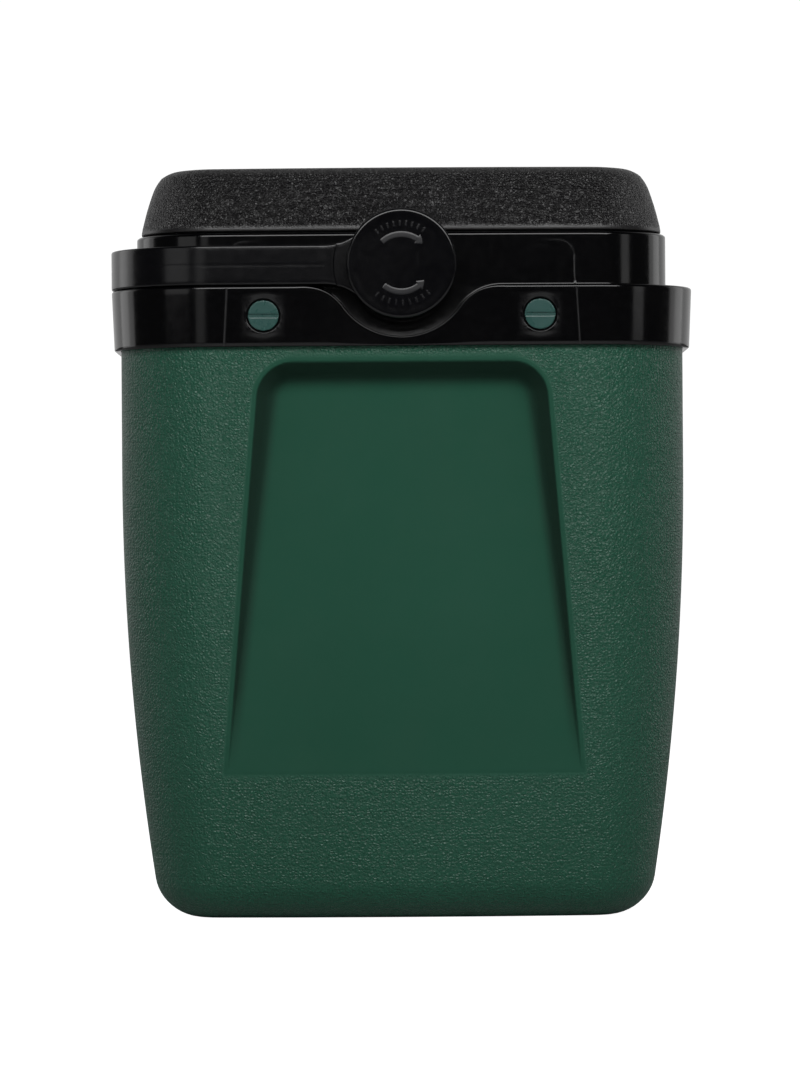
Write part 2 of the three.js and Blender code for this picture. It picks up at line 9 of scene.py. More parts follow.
import bmesh
import bpy
import numpy as np
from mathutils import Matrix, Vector


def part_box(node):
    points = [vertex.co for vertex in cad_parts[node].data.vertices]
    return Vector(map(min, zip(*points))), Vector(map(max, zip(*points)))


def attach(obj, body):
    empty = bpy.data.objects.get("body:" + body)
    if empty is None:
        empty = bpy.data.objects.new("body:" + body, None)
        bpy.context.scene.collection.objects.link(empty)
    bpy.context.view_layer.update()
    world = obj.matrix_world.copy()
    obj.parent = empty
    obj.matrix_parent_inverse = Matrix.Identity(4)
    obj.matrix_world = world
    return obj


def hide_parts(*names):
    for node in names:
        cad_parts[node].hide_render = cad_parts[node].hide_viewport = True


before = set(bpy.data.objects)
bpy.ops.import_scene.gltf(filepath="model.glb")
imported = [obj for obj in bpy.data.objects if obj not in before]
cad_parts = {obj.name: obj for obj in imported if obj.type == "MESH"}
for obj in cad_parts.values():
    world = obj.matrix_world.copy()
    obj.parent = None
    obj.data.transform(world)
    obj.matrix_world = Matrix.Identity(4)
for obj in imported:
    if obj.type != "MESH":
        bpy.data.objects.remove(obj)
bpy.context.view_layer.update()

MM = 0.001


# ---- Sizes, from the frame ----

def extent(node):
    """Lowest and highest corner of a CAD node in millimetres."""
    low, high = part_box(node)
    return np.array(low) / MM, np.array(high) / MM


def smoothstep(value):
    t = np.clip(value, 0.0, 1.0)
    return t * t * (3.0 - 2.0 * t)


tub_high = extent("outer_body")[1]
collar_low, collar_high = extent("top_collar")
handle_low, handle_high = extent("handle")
lid_low, lid_high = extent("lid_cover")
tray_low, tray_high = extent("lid_liner")
seal_low, seal_high = extent("lid_seal")
liner_low, liner_high = extent("inner_liner")
cap_low, cap_high = extent("pivot_cap_front")
screw_low, screw_high = extent("collar_screw_front_right")

# Plan of the tub under the collar. Every other plan is this one moved in or out.
HALF_WIDTH = tub_high[0]
HALF_LENGTH = tub_high[1]
CORNER_RADIUS = 48.2
END_BOW = 5.0
SIDE_BOW = 2.5
WALL = 3.0
GAP = 0.3

# Tub.
RIM_Z = tub_high[2]
TAPER_START_Z = 230.0
TAPER_DIVISOR = 2800.0
FOOT_RADIUS = 20.0
RECESS_FOOT_Z = 76.9
RECESS_TOP_Z = 284.6
RECESS_FOOT_HALF_WIDTH = 90.0
RECESS_TOP_HALF_WIDTH = 72.6
RECESS_CORNER = 17.0
RECESS_DEPTH = 20.0
RECESS_FOOT_DEPTH = 0.6
RECESS_DRAFT = 0.38

# Collar.
SKIRT_FOOT_Z = collar_low[2]
NECK_TOP_Z = collar_high[2]
SKIRT_TOP_OFFSET = collar_high[0] - HALF_WIDTH
SKIRT_FOOT_OFFSET = SKIRT_TOP_OFFSET - 1.3
LEDGE_Z = 323.2
NECK_OFFSET = -8.4
LEDGE_ROUNDING = 1.6
POCKET_EDGE_ROUNDING = 0.45
NECK_ROUNDING = 4.2
NECK_DROP = 2.0
MOUTH_OFFSET = -27.2
MOUTH_ROUNDING = 12.0

# Handle and pivots.
EYE_RADIUS = handle_high[0]
PIVOT_Z = (handle_low[2] + handle_high[2]) / 2
ARM_HALF_HEIGHT = 10.0
HANDLE_OUTER_OFFSET = -handle_low[0] - HALF_WIDTH
HANDLE_THICKNESS = 8.6
HANDLE_EDGE = 1.0
ARM_SEAM_DEPTH = 0.06
EYE_BLEND_START = 39.0
EYE_STEP_RADIUS = 34.3
EYE_STEP_DEPTH = 0.8
POCKET_RADIUS = 36.5
POCKET_BLEND = 26.0
STEM_RADIUS = 8.0
CAP_RADIUS = cap_high[0]
CAP_FACE_Y = cap_low[1]
CAP_BACK_Y = -(HALF_LENGTH + HANDLE_OUTER_OFFSET) - GAP
STEM_END_Y = cap_high[1]

# Screws.
SCREW_X = (screw_low[0] + screw_high[0]) / 2
SCREW_Z = (screw_low[2] + screw_high[2]) / 2
SCREW_HEAD_RADIUS = (screw_high[0] - screw_low[0]) / 2
SCREW_SEAT_RADIUS = SCREW_HEAD_RADIUS + 0.8
SCREW_SEAT_DEPTH = 1.7
SCREW_SHANK_RADIUS = 4.0
SLOT_WIDTH = 1.5

# Lid: its side from the foot to the flat top, as (offset, z, share of an inset that lowers it).
LID_FOOT_Z = lid_low[2]
LID_EDGE_OFFSET = lid_high[0] - HALF_WIDTH
LID_WALL = 2.5
LID_CROWN = 0.4
LID_SIDE = [
    (-11.2, 355.3, 0.0),
    (-13.6, 364.7, 0.0),
    (-17.0, 375.0, 0.3),
    (-20.0, 380.2, 0.6),
    (-22.2, 382.3, 0.8),
    (-26.6, 384.4, 1.0),
    (-32.0, lid_high[2] - LID_CROWN, 1.0),
]


# ---- Mesh helpers ----

class Shell:
    """Collects patches of quads in millimetres and joins them into one closed mesh."""

    def __init__(self):
        self.points = []
        self.faces = []
        self.grain = []
        self.count = 0

    def add(self, points, grain=0.0):
        flat = np.asarray(points, float).reshape(-1, 3)
        first = self.count
        self.points.append(flat)
        self.grain.append(np.broadcast_to(np.asarray(grain, float).ravel(), (len(flat),)))
        self.count += len(flat)
        return first

    def grid(self, points, close_columns=False, close_rows=False, skip=(), grain=0.0):
        """Quads over a (rows, columns, 3) array; skip holds (row0, row1, column0, column1)."""
        points = np.asarray(points, float)
        rows, columns = points.shape[:2]
        index = np.arange(rows * columns).reshape(rows, columns) + self.add(points, grain)
        if close_columns:
            index = np.concatenate([index, index[:, :1]], axis=1)
        if close_rows:
            index = np.concatenate([index, index[:1]], axis=0)
        keep = np.ones((index.shape[0] - 1, index.shape[1] - 1), bool)
        for row0, row1, column0, column1 in skip:
            keep[row0:row1, column0:column1] = False
        quads = np.stack([index[:-1, :-1], index[:-1, 1:], index[1:, 1:], index[1:, :-1]], axis=-1)
        self.faces.extend(quads[keep].tolist())

    def tube(self, rows, **options):
        """A grid whose columns close into a loop."""
        self.grid(rows, close_columns=True, **options)

    def fan(self, loop, centre, grain=0.0):
        """Triangles from a closed loop of points to one centre."""
        first = self.add(loop, grain)
        middle = self.add([centre], grain)
        count = len(loop)
        self.faces.extend([first + i, first + (i + 1) % count, middle] for i in range(count))

    def build(self, name, sharp_degrees=40.0):
        mesh = bpy.data.meshes.new(name)
        mesh.from_pydata((np.concatenate(self.points) * MM).tolist(), [], self.faces)
        # On the tub and lid this value also carries painted shade: below 0.4 it darkens the colour.
        attribute = mesh.attributes.new("grain", "FLOAT", "POINT")
        attribute.data.foreach_set("value", np.concatenate(self.grain).astype(np.float32))
        bm = bmesh.new()
        bm.from_mesh(mesh)
        bmesh.ops.remove_doubles(bm, verts=bm.verts, dist=2e-6)
        bmesh.ops.dissolve_degenerate(bm, edges=bm.edges, dist=1e-7)
        bmesh.ops.recalc_face_normals(bm, faces=bm.faces)
        bm.to_mesh(mesh)
        bm.free()
        mesh.shade_smooth()
        mesh.set_sharp_from_angle(angle=math.radians(sharp_degrees))
        piece = bpy.data.objects.new(name, mesh)
        bpy.context.scene.collection.objects.link(piece)
        return piece

    def finish(self, name, material, body, node, sharp_degrees=40.0):
        """Builds a piece with its material and body, in place of its CAD node."""
        piece = self.build(name, sharp_degrees)
        piece.data.materials.append(material)
        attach(piece, body)
        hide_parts(node)


# ---- Plan outlines ----

# Half the width of an end face between its rounded corners.
END_REACH = (HALF_WIDTH - CORNER_RADIUS) * (1 - SIDE_BOW / HALF_WIDTH)


def points_of(x, y, z):
    """Points from their coordinates, which are arrays of one shape or plain numbers."""
    return np.stack(np.broadcast_arrays(x, y, z), axis=-1)


def plan_part(cx, cy, nx, ny):
    """Columns (cx, cy, nx, ny): factors of the corner centre and the outward direction."""
    return np.stack(np.broadcast_arrays(cx, cy, nx, ny), axis=1).astype(float)


def plan_corner(cx, cy, angles):
    return plan_part(cx, cy, np.cos(angles), np.sin(angles))


def columns(end_factors, side_steps, corner_steps):
    """Columns round the plan, counter-clockwise from the front's left."""
    ends = np.asarray(end_factors, float)
    side = np.linspace(-1, 1, side_steps + 1)
    quarter = np.linspace(0, math.pi / 2, corner_steps + 1)[1:-1]
    return np.concatenate([
        plan_part(ends, -1, 0, -1), plan_corner(1, -1, quarter - math.pi / 2),
        plan_part(1, side, 1, 0), plan_corner(1, 1, quarter),
        plan_part(ends[::-1], 1, 0, 1), plan_corner(-1, 1, quarter + math.pi / 2),
        plan_part(-1, side[::-1], -1, 0), plan_corner(-1, -1, quarter + math.pi),
    ])


def end_masks(layout):
    """Which columns lie on the front and the rear end."""
    return (layout[:, 3] == -1), (layout[:, 3] == 1)


def ring(layout, offset, rounding=0.0, factor=None):
    """Points of one plan; offset may differ from column to column."""
    cx, cy, nx, ny = layout.T
    if factor is not None:
        cx = factor
    a = HALF_WIDTH + offset
    b = HALF_LENGTH + offset
    r = CORNER_RADIUS + offset + rounding
    x = cx * (a - r) + r * nx
    y = cy * (b - r) + r * ny
    bowed_x = x - SIDE_BOW * (x / a) * (y / b) ** 2
    bowed_y = y - END_BOW * (y / b) * (x / a) ** 2
    return bowed_x, bowed_y


def plan_row(layout, offset, z, rounding=0.0, factor=None):
    x, y = ring(layout, offset, rounding, factor)
    return points_of(x, y, z)


def end_y(x, offset):
    """Distance of an end face from the middle of the box, at x."""
    a = HALF_WIDTH + offset
    return HALF_LENGTH + offset - END_BOW * (x / (a - SIDE_BOW)) ** 2


def lofted(layout, rings, rounding=0.0):
    """Grid through rings of (offset, z), or (offset, z, rounding) where it isn't the usual one."""
    return np.stack([plan_row(layout, *(*one, rounding)[:3]) for one in rings])


def arc(steps, start=0.0, end=90.0):
    """Angles of an arc in radians, both ends included."""
    return np.radians(np.linspace(start, end, steps + 1))


# ---- Tub ----

def tub_offset(z):
    return -np.maximum(0.0, TAPER_START_Z - z) ** 2 / TAPER_DIVISOR


def recess_rise(z):
    """Height as a share of the recess's height."""
    return (z - RECESS_FOOT_Z) / (RECESS_TOP_Z - RECESS_FOOT_Z)


def recess_half_width(z):
    """Half-width of the recess's straight sides, held above its top and below its foot."""
    rise = np.clip(recess_rise(z), 0.0, 1.0)
    return RECESS_FOOT_HALF_WIDTH + (RECESS_TOP_HALF_WIDTH - RECESS_FOOT_HALF_WIDTH) * rise


def recess_inside(x, z, grow=0.0, foot_share=1.0):
    """Distance inside the recess's outline, negative outside it; the foot counts by its share."""
    side = recess_half_width(z) + grow - np.abs(x)
    top = RECESS_TOP_Z + grow - z
    foot = (z - RECESS_FOOT_Z) * foot_share + grow
    corner_x = RECESS_CORNER - side
    corner_z = RECESS_CORNER - top
    rounded = RECESS_CORNER - np.hypot(np.maximum(corner_x, 0), np.maximum(corner_z, 0))
    in_corner = (corner_x > 0) & (corner_z > 0)
    upper = np.where(in_corner, rounded, np.minimum(side, top))
    return np.minimum(upper, foot)


def smooth_min(a, b, k):
    h = np.maximum(k - np.abs(a - b), 0.0) / k
    return np.minimum(a, b) - h * h * k / 4


def recess_floor(z):
    """Depth of the recess's floor at height z."""
    return RECESS_FOOT_DEPTH + (RECESS_DEPTH - RECESS_FOOT_DEPTH) * np.clip(recess_rise(z), 0, 1)


def recess_depth(x, z, grow=0.0):
    """Depth of the recess below the end face, with slanted walls and rounded corners."""
    floor = recess_floor(z)
    wall = recess_inside(x, z, grow, 0.07) / RECESS_DRAFT
    lower = smooth_min(floor, wall, np.minimum(7.0, 0.45 * floor))
    lip = np.minimum(1.0, 0.4 * floor)
    return -smooth_min(-lower, np.zeros_like(lower), lip)


def recess_shade(x, z):
    """Strength of the painted shade in the recess's corners: 1 on its walls, fading out on its floor."""
    floor = recess_floor(z)
    inside = recess_inside(x, z, 0.0, 50.0)
    fade = 1 - smoothstep((inside - RECESS_DRAFT * floor) / 6.0)
    return fade * smoothstep(inside / 0.6) * np.clip(floor / 4.0 - 0.15, 0.0, 1.0)


def pocket_rim(x, grow):
    """Height of the pocket's edge below the pivot; beside the pocket, the pivot's height."""
    radius = POCKET_RADIUS + grow
    return PIVOT_Z - np.sqrt(np.maximum(radius ** 2 - x ** 2, 0.0))


def tub_rows(inset):
    """(offset, z) of the tub's rows, from the edge of its flat foot up to its rim."""
    radius = FOOT_RADIUS - inset
    rows = []
    for angle in arc(12)[:-1]:
        z = inset + radius * (1 - math.cos(angle))
        rows.append((tub_offset(z) - inset - radius * (1 - math.sin(angle)), z))
    heights = np.concatenate([
        np.arange(FOOT_RADIUS, RECESS_FOOT_Z - 3, 6.5),
        RECESS_FOOT_Z + np.array([-2.5, -1.2, -0.6, -0.3, 0, 0.3, 0.6, 1.2, 2.5]),
        np.arange(RECESS_FOOT_Z + 6, RECESS_TOP_Z - 26, 6.0),
        np.arange(RECESS_TOP_Z - 25, RECESS_TOP_Z - 10, 1.2),
        np.arange(RECESS_TOP_Z - 10, RECESS_TOP_Z + 2.5, 0.7),
        [290.0, 292.0, 293.5, 298.0, 304.0, 310.0, 315.0, RIM_Z],
    ])
    rows.extend((tub_offset(z) - inset, z) for z in heights)
    return rows


def tub_end_x(z):
    """x of the end columns at height z: close together along the recess's side walls."""
    half = recess_half_width(z)
    wall = np.concatenate([np.arange(-4.0, 9.0, 0.4), np.arange(9.0, 20.5, 1.0)])
    floor = np.linspace(0.0, half - wall[-1], 12, endpoint=False)
    outer = np.linspace(half - wall[0], END_REACH, 6)[1:]
    right = np.concatenate([floor, (half - wall)[::-1], outer])
    return np.concatenate([-right[:0:-1], right])


def tub_surface(inset):
    """Rows of points and of the grain's strength for the tub's outer or inner skin; the strength goes below
    zero where painted shade darkens the recess walls.
    """
    layout = columns(tub_end_x(RECESS_TOP_Z) / END_REACH, 28, 18)
    front, rear = end_masks(layout)
    grid, grain = [], []
    for offset, z in tub_rows(inset):
        factor = layout[:, 0].copy()
        xs = tub_end_x(z)
        factor[front] = xs / END_REACH
        factor[rear] = xs[::-1] / END_REACH
        x, y = ring(layout, offset, 0.0, factor)
        height = np.full(x.shape, float(z))
        at_end = front | rear
        if z > SKIRT_FOOT_Z - 5:
            low = RECESS_TOP_Z + 5
            cut = np.minimum(pocket_rim(x, WALL + GAP), RIM_Z)
            cut = np.where(at_end & (np.abs(x) < POCKET_RADIUS + 8), cut, RIM_Z)
            height = low + (z - low) * (cut - low) / (RIM_Z - low)
        depth = np.where(at_end, recess_depth(x, z, inset), 0.0)
        inside = recess_inside(x, z)
        y = y - np.sign(y) * depth
        grid.append(points_of(x, y, height))
        rough = np.where(at_end, smoothstep((-inside - 1.6) / 1.6), 1.0)
        # Grain strength, pulled down towards -1 on the recess walls as painted shade.
        grain.append(np.where(at_end, rough - recess_shade(x, z), 1.0))
    return np.array(grid), np.array(grain)


def build_tub(material):
    shell = Shell()
    outer, grain = tub_surface(0.0)
    inner, _ = tub_surface(WALL)
    shell.tube(outer, grain=grain)
    shell.tube(inner)
    shell.tube([outer[-1], inner[-1]])
    shell.fan(outer[0], (0, 0, 0), grain=1.0)
    shell.fan(inner[0], (0, 0, WALL))
    shell.finish("tub", material, "case", "outer_body")


# ---- Collar ----

# Each hole is set in a block of this many cells across, with half-sizes in x and z.
BLOCK = 12
SCREW_BLOCK_HALF = 12.5
SCREW_BLOCK_X = np.linspace(SCREW_X - SCREW_BLOCK_HALF, SCREW_X + SCREW_BLOCK_HALF, BLOCK + 1)
SCREW_BLOCK_RISE = 10.8
STEM_BLOCK_HALF = 11.0
STEM_BLOCK_RISE = 9.2
PANEL_LINE_X = 88.0
PANEL_LINE_LEAN = 0.055
PANEL_LINE_CORNER = 8.0
PANEL_LINE_TOP_Z = 346.4
PANEL_LINE_DEPTH = 0.1


def pocket_edge():
    """(x, z, nx, nz) from the pocket's foot up its right half and out along the ledge.

    z is from the pivot; n points from the pocket or the ledge into the collar's face.
    """
    blend_z = LEDGE_Z - PIVOT_Z - POCKET_BLEND
    blend_x = math.sqrt((POCKET_RADIUS + POCKET_BLEND) ** 2 - blend_z ** 2)
    lean = math.atan2(-blend_z, blend_x)
    edge = []
    start = math.asin(STEM_BLOCK_HALF / POCKET_RADIUS)
    near = np.arcsin(np.linspace(0, STEM_BLOCK_HALF, BLOCK // 2 + 1) / POCKET_RADIUS)
    far = np.linspace(start, math.pi / 2 - lean, 22)[1:]
    for angle in np.concatenate([near, far]):
        nx, nz = math.sin(angle), -math.cos(angle)
        edge.append((POCKET_RADIUS * nx, POCKET_RADIUS * nz, nx, nz))
    for angle in np.linspace(math.pi - lean, math.pi / 2, 17)[1:]:
        nx, nz = -math.cos(angle), -math.sin(angle)
        edge.append((blend_x - POCKET_BLEND * nx, blend_z - POCKET_BLEND * nz, nx, nz))
    line = np.arange(SCREW_BLOCK_X[-1] + 0.4, PANEL_LINE_X + 4.0, 0.4)
    beyond = np.concatenate([[54.0], SCREW_BLOCK_X, line, [94.0, END_REACH]])
    edge.extend((x, LEDGE_Z - PIVOT_Z, 0.0, -1.0) for x in beyond)
    return np.array(edge)


def panel_line(x, z):
    """1 on the fine moulded line that frames the middle of the collar's ends, 0 off it."""
    x = np.abs(x) - PANEL_LINE_LEAN * np.maximum(LEDGE_Z + 7.0 - z, 0.0)
    corner_x = PANEL_LINE_X - PANEL_LINE_CORNER
    corner_z = PANEL_LINE_TOP_Z - PANEL_LINE_CORNER
    side = np.abs(x - PANEL_LINE_X)
    top = np.abs(z - PANEL_LINE_TOP_Z)
    turn = np.abs(np.hypot(x - corner_x, z - corner_z) - PANEL_LINE_CORNER)
    away = np.where(z < corner_z, side, np.where(x < corner_x, top, turn))
    strength = np.where(z < corner_z, 1.0, 0.5 * smoothstep((x - corner_x + 12.0) / 16.0))
    return strength * (1 - smoothstep(away / 0.7))


def collar_columns():
    """Layout and end mask of the collar's columns, and the ledge's edge there.

    The edge is (px, pz) with its direction (nx, nz), as in pocket_edge, and its rounding.
    """
    edge = pocket_edge()
    ends = np.concatenate([edge[:0:-1] * np.array([-1, 1, -1, 1]), edge])
    layout = columns(ends[:, 0] / END_REACH, 28, 18)
    front, rear = end_masks(layout)
    px = np.zeros(len(layout))
    pz = np.full(len(layout), LEDGE_Z)
    nx = np.zeros(len(layout))
    nz = np.full(len(layout), -1.0)
    for mask, source in ((front, ends), (rear, ends[::-1])):
        px[mask], pz[mask], nx[mask], nz[mask] = source.T
        pz[mask] += PIVOT_Z
    away = np.where(front | rear, smoothstep((np.abs(px) - 34.0) / 20.0), 1.0)
    rounding = POCKET_EDGE_ROUNDING + (LEDGE_ROUNDING - POCKET_EDGE_ROUNDING) * away
    return layout, front | rear, px, pz, nx, nz, rounding


def build_collar(material):
    layout, at_end, px, pz, nx, nz, rounding = collar_columns()

    def row(offset, z, into=0.0):
        """A ring at offset; into moves end columns from the ledge's edge into the collar."""
        factor = np.where(at_end, (px + nx * into) / END_REACH, layout[:, 0])
        x, y = ring(layout, offset, 0.0, factor)
        return points_of(x, y, z)

    def mouth_row(offset, z):
        return plan_row(layout, offset, z, MOUTH_ROUNDING)

    skirt_span = LEDGE_Z - SKIRT_FOOT_Z
    face_foot = SKIRT_FOOT_Z + 0.6
    face_top = pz + nz * rounding
    block_z = np.linspace(SCREW_Z - SCREW_BLOCK_RISE, SCREW_Z + SCREW_BLOCK_RISE, BLOCK + 1)
    plain_top = LEDGE_Z - LEDGE_ROUNDING
    face_fractions = np.concatenate([
        [0.0, 0.06], (block_z - face_foot) / (plain_top - face_foot), [1.0],
    ])

    def skirt_offset(z):
        rise = np.clip((z - SKIRT_FOOT_Z) / skirt_span, 0, 1)
        return SKIRT_FOOT_OFFSET + (SKIRT_TOP_OFFSET - SKIRT_FOOT_OFFSET) * rise

    marks = {}
    outer = [row(SKIRT_FOOT_OFFSET - 0.6, SKIRT_FOOT_Z, rounding)]

    def add_lined_row(offset, z, into=0.0):
        """A ring of the outer face with the panel line cut in and marked."""
        marks[len(outer)] = np.where(at_end, panel_line(px, z), 0.0)
        outer.append(row(offset - PANEL_LINE_DEPTH * marks[len(outer)], z, into))

    outer.append(row(SKIRT_FOOT_OFFSET - 0.18, SKIRT_FOOT_Z + 0.18, rounding))
    first_face_row = len(outer)
    for fraction in face_fractions:
        z = face_foot + fraction * (face_top - face_foot)
        add_lined_row(skirt_offset(z), z, rounding)
    for angle in arc(6)[1:]:
        inward = rounding * (1 - math.cos(angle))
        depth = rounding * (1 - math.sin(angle))
        z = pz + nz * depth
        outer.append(row(skirt_offset(z) - inward, z, depth))
    fillet = 1.0
    outer.append(row(NECK_OFFSET + 5.0, pz))
    for angle in arc(4):
        rise = fillet * (1 - math.cos(angle))
        outer.append(row(NECK_OFFSET + fillet * (1 - math.sin(angle)), pz - nz * rise, -rise))
    stem_z = np.linspace(PIVOT_Z - STEM_BLOCK_RISE, PIVOT_Z + STEM_BLOCK_RISE, BLOCK + 1)
    first_neck_row = len(outer)
    neck_heights = np.concatenate([
        stem_z, np.arange(stem_z[-1] + 0.5, NECK_TOP_Z - NECK_DROP - 0.1, 0.5),
    ])
    for z in neck_heights:
        add_lined_row(NECK_OFFSET, z)
    for angle in arc(7):
        z = NECK_TOP_Z - NECK_DROP * (1 - math.sin(angle))
        outer.append(row(NECK_OFFSET - NECK_ROUNDING * (1 - math.cos(angle)), z))
    outer.append(row(NECK_OFFSET - NECK_ROUNDING - 3, NECK_TOP_Z))
    outer.append(mouth_row(MOUTH_OFFSET + 1.0, NECK_TOP_Z))
    for angle in arc(4)[1:]:
        outer.append(mouth_row(MOUTH_OFFSET + 1.0 - math.sin(angle),
                               NECK_TOP_Z - 1.0 + math.cos(angle)))
    under_rim = NECK_TOP_Z - WALL
    outer.append(mouth_row(MOUTH_OFFSET, under_rim))

    inner_neck = NECK_OFFSET - WALL
    inner = [row(inner_neck, under_rim)]
    first_inner_neck = len(inner)
    for z in stem_z[::-1]:
        inner.append(row(inner_neck, z))
    under_ledge = pz + nz * WALL
    inner.append(row(inner_neck, under_ledge, WALL))
    inner.append(row(GAP, under_ledge, WALL))
    first_inner_skirt = len(inner)
    for fraction in face_fractions[::-1]:
        z = face_foot + fraction * (np.minimum(face_top, under_ledge) - face_foot)
        inner.append(row(GAP, z, rounding))
    inner.append(row(GAP, SKIRT_FOOT_Z, rounding))

    outer = np.array(outer)
    inner = np.array(inner)
    shell = Shell()
    holes = []
    for sign in (-1, 1):
        for x0 in (-SCREW_X, SCREW_X):
            blocks = hole_blocks(layout, px, sign, x0, SCREW_BLOCK_HALF,
                                 first_face_row + 2, first_inner_skirt + 1)
            screw_hole(shell, perimeter(outer, blocks[0]), perimeter(inner, blocks[1]), sign, x0)
            holes.append(blocks)
        blocks = hole_blocks(layout, px, sign, 0.0, STEM_BLOCK_HALF, first_neck_row, first_inner_neck)
        stem_hole(shell, perimeter(outer, blocks[0]), perimeter(inner, blocks[1]), sign)
        holes.append(blocks)
    outer_skip, inner_skip = zip(*holes)
    grain = np.array([marks.get(i, np.zeros(len(layout))) for i in range(len(outer))])
    shell.tube(outer, skip=outer_skip, grain=grain)
    shell.tube(inner, skip=inner_skip)
    shell.tube([outer[-1], inner[0]])
    shell.tube([inner[-1], outer[0]])
    shell.finish("collar", material, "case", "top_collar", 50.0)


def hole_blocks(layout, px, sign, x0, half, row0, inner_row0):
    """Blocks of the outer and the inner grid round a hole, as (row0, row1, column0, column1)."""
    on_end = layout[:, 3] == sign
    inside = np.nonzero(on_end & (np.abs(px - x0) < half + 1e-6))[0]
    span = (inside[0], inside[-1])
    return (row0, row0 + BLOCK, *span), (inner_row0, inner_row0 + BLOCK, *span)


def perimeter(grid, block):
    """Points round a block of a grid, once round."""
    row0, row1, column0, column1 = block
    return np.concatenate([
        grid[row0, column0:column1],
        grid[row0:row1, column1],
        grid[row1, column0 + 1:column1 + 1][::-1],
        grid[row0 + 1:row1 + 1, column0][::-1],
    ])


def circle_facing(points, centre_x, centre_z, radius, y):
    """Point of a circle in the direction of each point, at depth y."""
    angle = np.arctan2(points[:, 2] - centre_z, points[:, 0] - centre_x)
    x = centre_x + radius * np.cos(angle)
    return points_of(x, y(x), centre_z + radius * np.sin(angle))


def spread(outside, inside, steps):
    """Rows of points between two matching loops."""
    t = np.linspace(0, 1, steps + 1)[:, None, None]
    return outside[None] * (1 - t) + inside[None] * t


def screw_hole(shell, block, far_block, sign, x0):
    """Counterbored hole in the skirt, filling the blocks with these loops round them."""
    mid_offset = (SKIRT_FOOT_OFFSET + SKIRT_TOP_OFFSET) / 2

    def face(x):
        return sign * end_y(x, mid_offset)

    def seat(x):
        return np.full(np.shape(x), sign * (end_y(SCREW_X, mid_offset) - SCREW_SEAT_DEPTH))

    def far(x):
        return sign * end_y(x, GAP)

    def at(points, radius, y):
        return circle_facing(points, x0, SCREW_Z, radius, y)

    lip = 0.5
    scuffs = np.repeat([0.0, 0.06, 0.28, 0.6], len(block))
    shell.tube(spread(block, at(block, SCREW_SEAT_RADIUS + lip, face), 3), grain=scuffs)
    lips = [at(block, SCREW_SEAT_RADIUS + lip * (1 - math.sin(a)),
               lambda x, a=a: face(x) - sign * lip * (1 - math.cos(a))) for a in arc(3)]
    seat_circle = at(block, SCREW_SEAT_RADIUS, seat)
    near_circle = at(block, SCREW_SHANK_RADIUS + GAP, seat)
    shell.tube(lips)
    shell.tube([lips[-1], seat_circle])
    shell.tube([seat_circle, near_circle])
    through(shell, near_circle, far_block, at(far_block, SCREW_SHANK_RADIUS + GAP, far), 2)


def stem_hole(shell, block, far_block, sign):
    """Hole for the pivot's stem in the neck, filling the blocks with these loops round them."""
    def circle(points, offset):
        return circle_facing(points, 0.0, PIVOT_Z, STEM_RADIUS + GAP, lambda x: sign * end_y(x, offset))

    near_circle = circle(block, NECK_OFFSET)
    shell.tube(spread(block, near_circle, 3))
    through(shell, near_circle, far_block, circle(far_block, NECK_OFFSET - WALL), 3)


def through(shell, near_circle, far_block, far_circle, steps):
    """Bore from a circle in the outer skin to one in the inner skin, and the skin round that."""
    distance = np.linalg.norm(near_circle[:, None, [0, 2]] - far_circle[None][:, :, [0, 2]], axis=2)
    order = distance.argmin(axis=1)
    shell.tube([near_circle, far_circle[order]])
    shell.tube(spread(far_block[order], far_circle[order], steps))


# ---- Lid ----

def smooth_curve(points, steps):
    """Catmull-Rom curve through (offset, z) points."""
    points = np.asarray(points, float)
    padded = np.concatenate([[2 * points[0] - points[1]], points, [2 * points[-1] - points[-2]]])
    rows = [tuple(points[0])]
    for p0, p1, p2, p3 in zip(padded, padded[1:], padded[2:], padded[3:]):
        for t in np.linspace(0, 1, steps + 1)[1:]:
            rows.append(tuple(0.5 * (2 * p1 + (p2 - p0) * t + (2 * p0 - 5 * p1 + 4 * p2 - p3) * t ** 2
                                     + (3 * p1 - p0 - 3 * p2 + p3) * t ** 3)))
    return rows


def lid_side(inset):
    """(offset, z) up the lid's slanted side and over its rounded edge."""
    return smooth_curve([(o - inset, z - share * inset) for o, z, share in LID_SIDE], 4)


def crowned(rim, height, steps=6):
    """Rows from a rim to the middle, rising by height in a shallow crown."""
    rows = []
    for t in np.linspace(1, 0, steps + 1)[1:-1]:
        scaled = rim * np.array([t, t, 1.0])
        scaled[:, 2] = rim[:, 2] + height * (1 - t * t)
        rows.append(scaled)
    centre = (0.0, 0.0, float(rim[0, 2] + height))
    return rows, centre


def build_lid(material):
    layout = columns(np.linspace(-1, 1, 25), 28, 18)
    foot, edge = LID_FOOT_Z, LID_EDGE_OFFSET
    rim = [(edge - 0.8 * (1 - math.sin(a)), foot + 0.8 * (1 - math.cos(a))) for a in arc(4)]
    rim.append((edge - 0.02, foot + 1.5))
    outer_rings = rim + lid_side(0.0)
    outer = lofted(layout, outer_rings)
    inner = lofted(layout, [(edge - LID_WALL, foot)] + lid_side(LID_WALL))
    grain = np.array([float(smoothstep((z - foot - 1.4) / 1.2)) for _, z in outer_rings])
    shell = Shell()
    shell.tube(outer, grain=np.repeat(grain, len(layout)))
    rows, centre = crowned(outer[-1], LID_CROWN)
    shell.tube([outer[-1], *rows], grain=1.0)
    shell.fan(rows[-1], centre, grain=1.0)
    shell.tube(inner)
    shell.fan(inner[-1], (0, 0, float(inner[-1][0, 2])))
    shell.tube([outer[0], inner[0]])
    shell.finish("lid_top", material, "lid", "lid_cover")


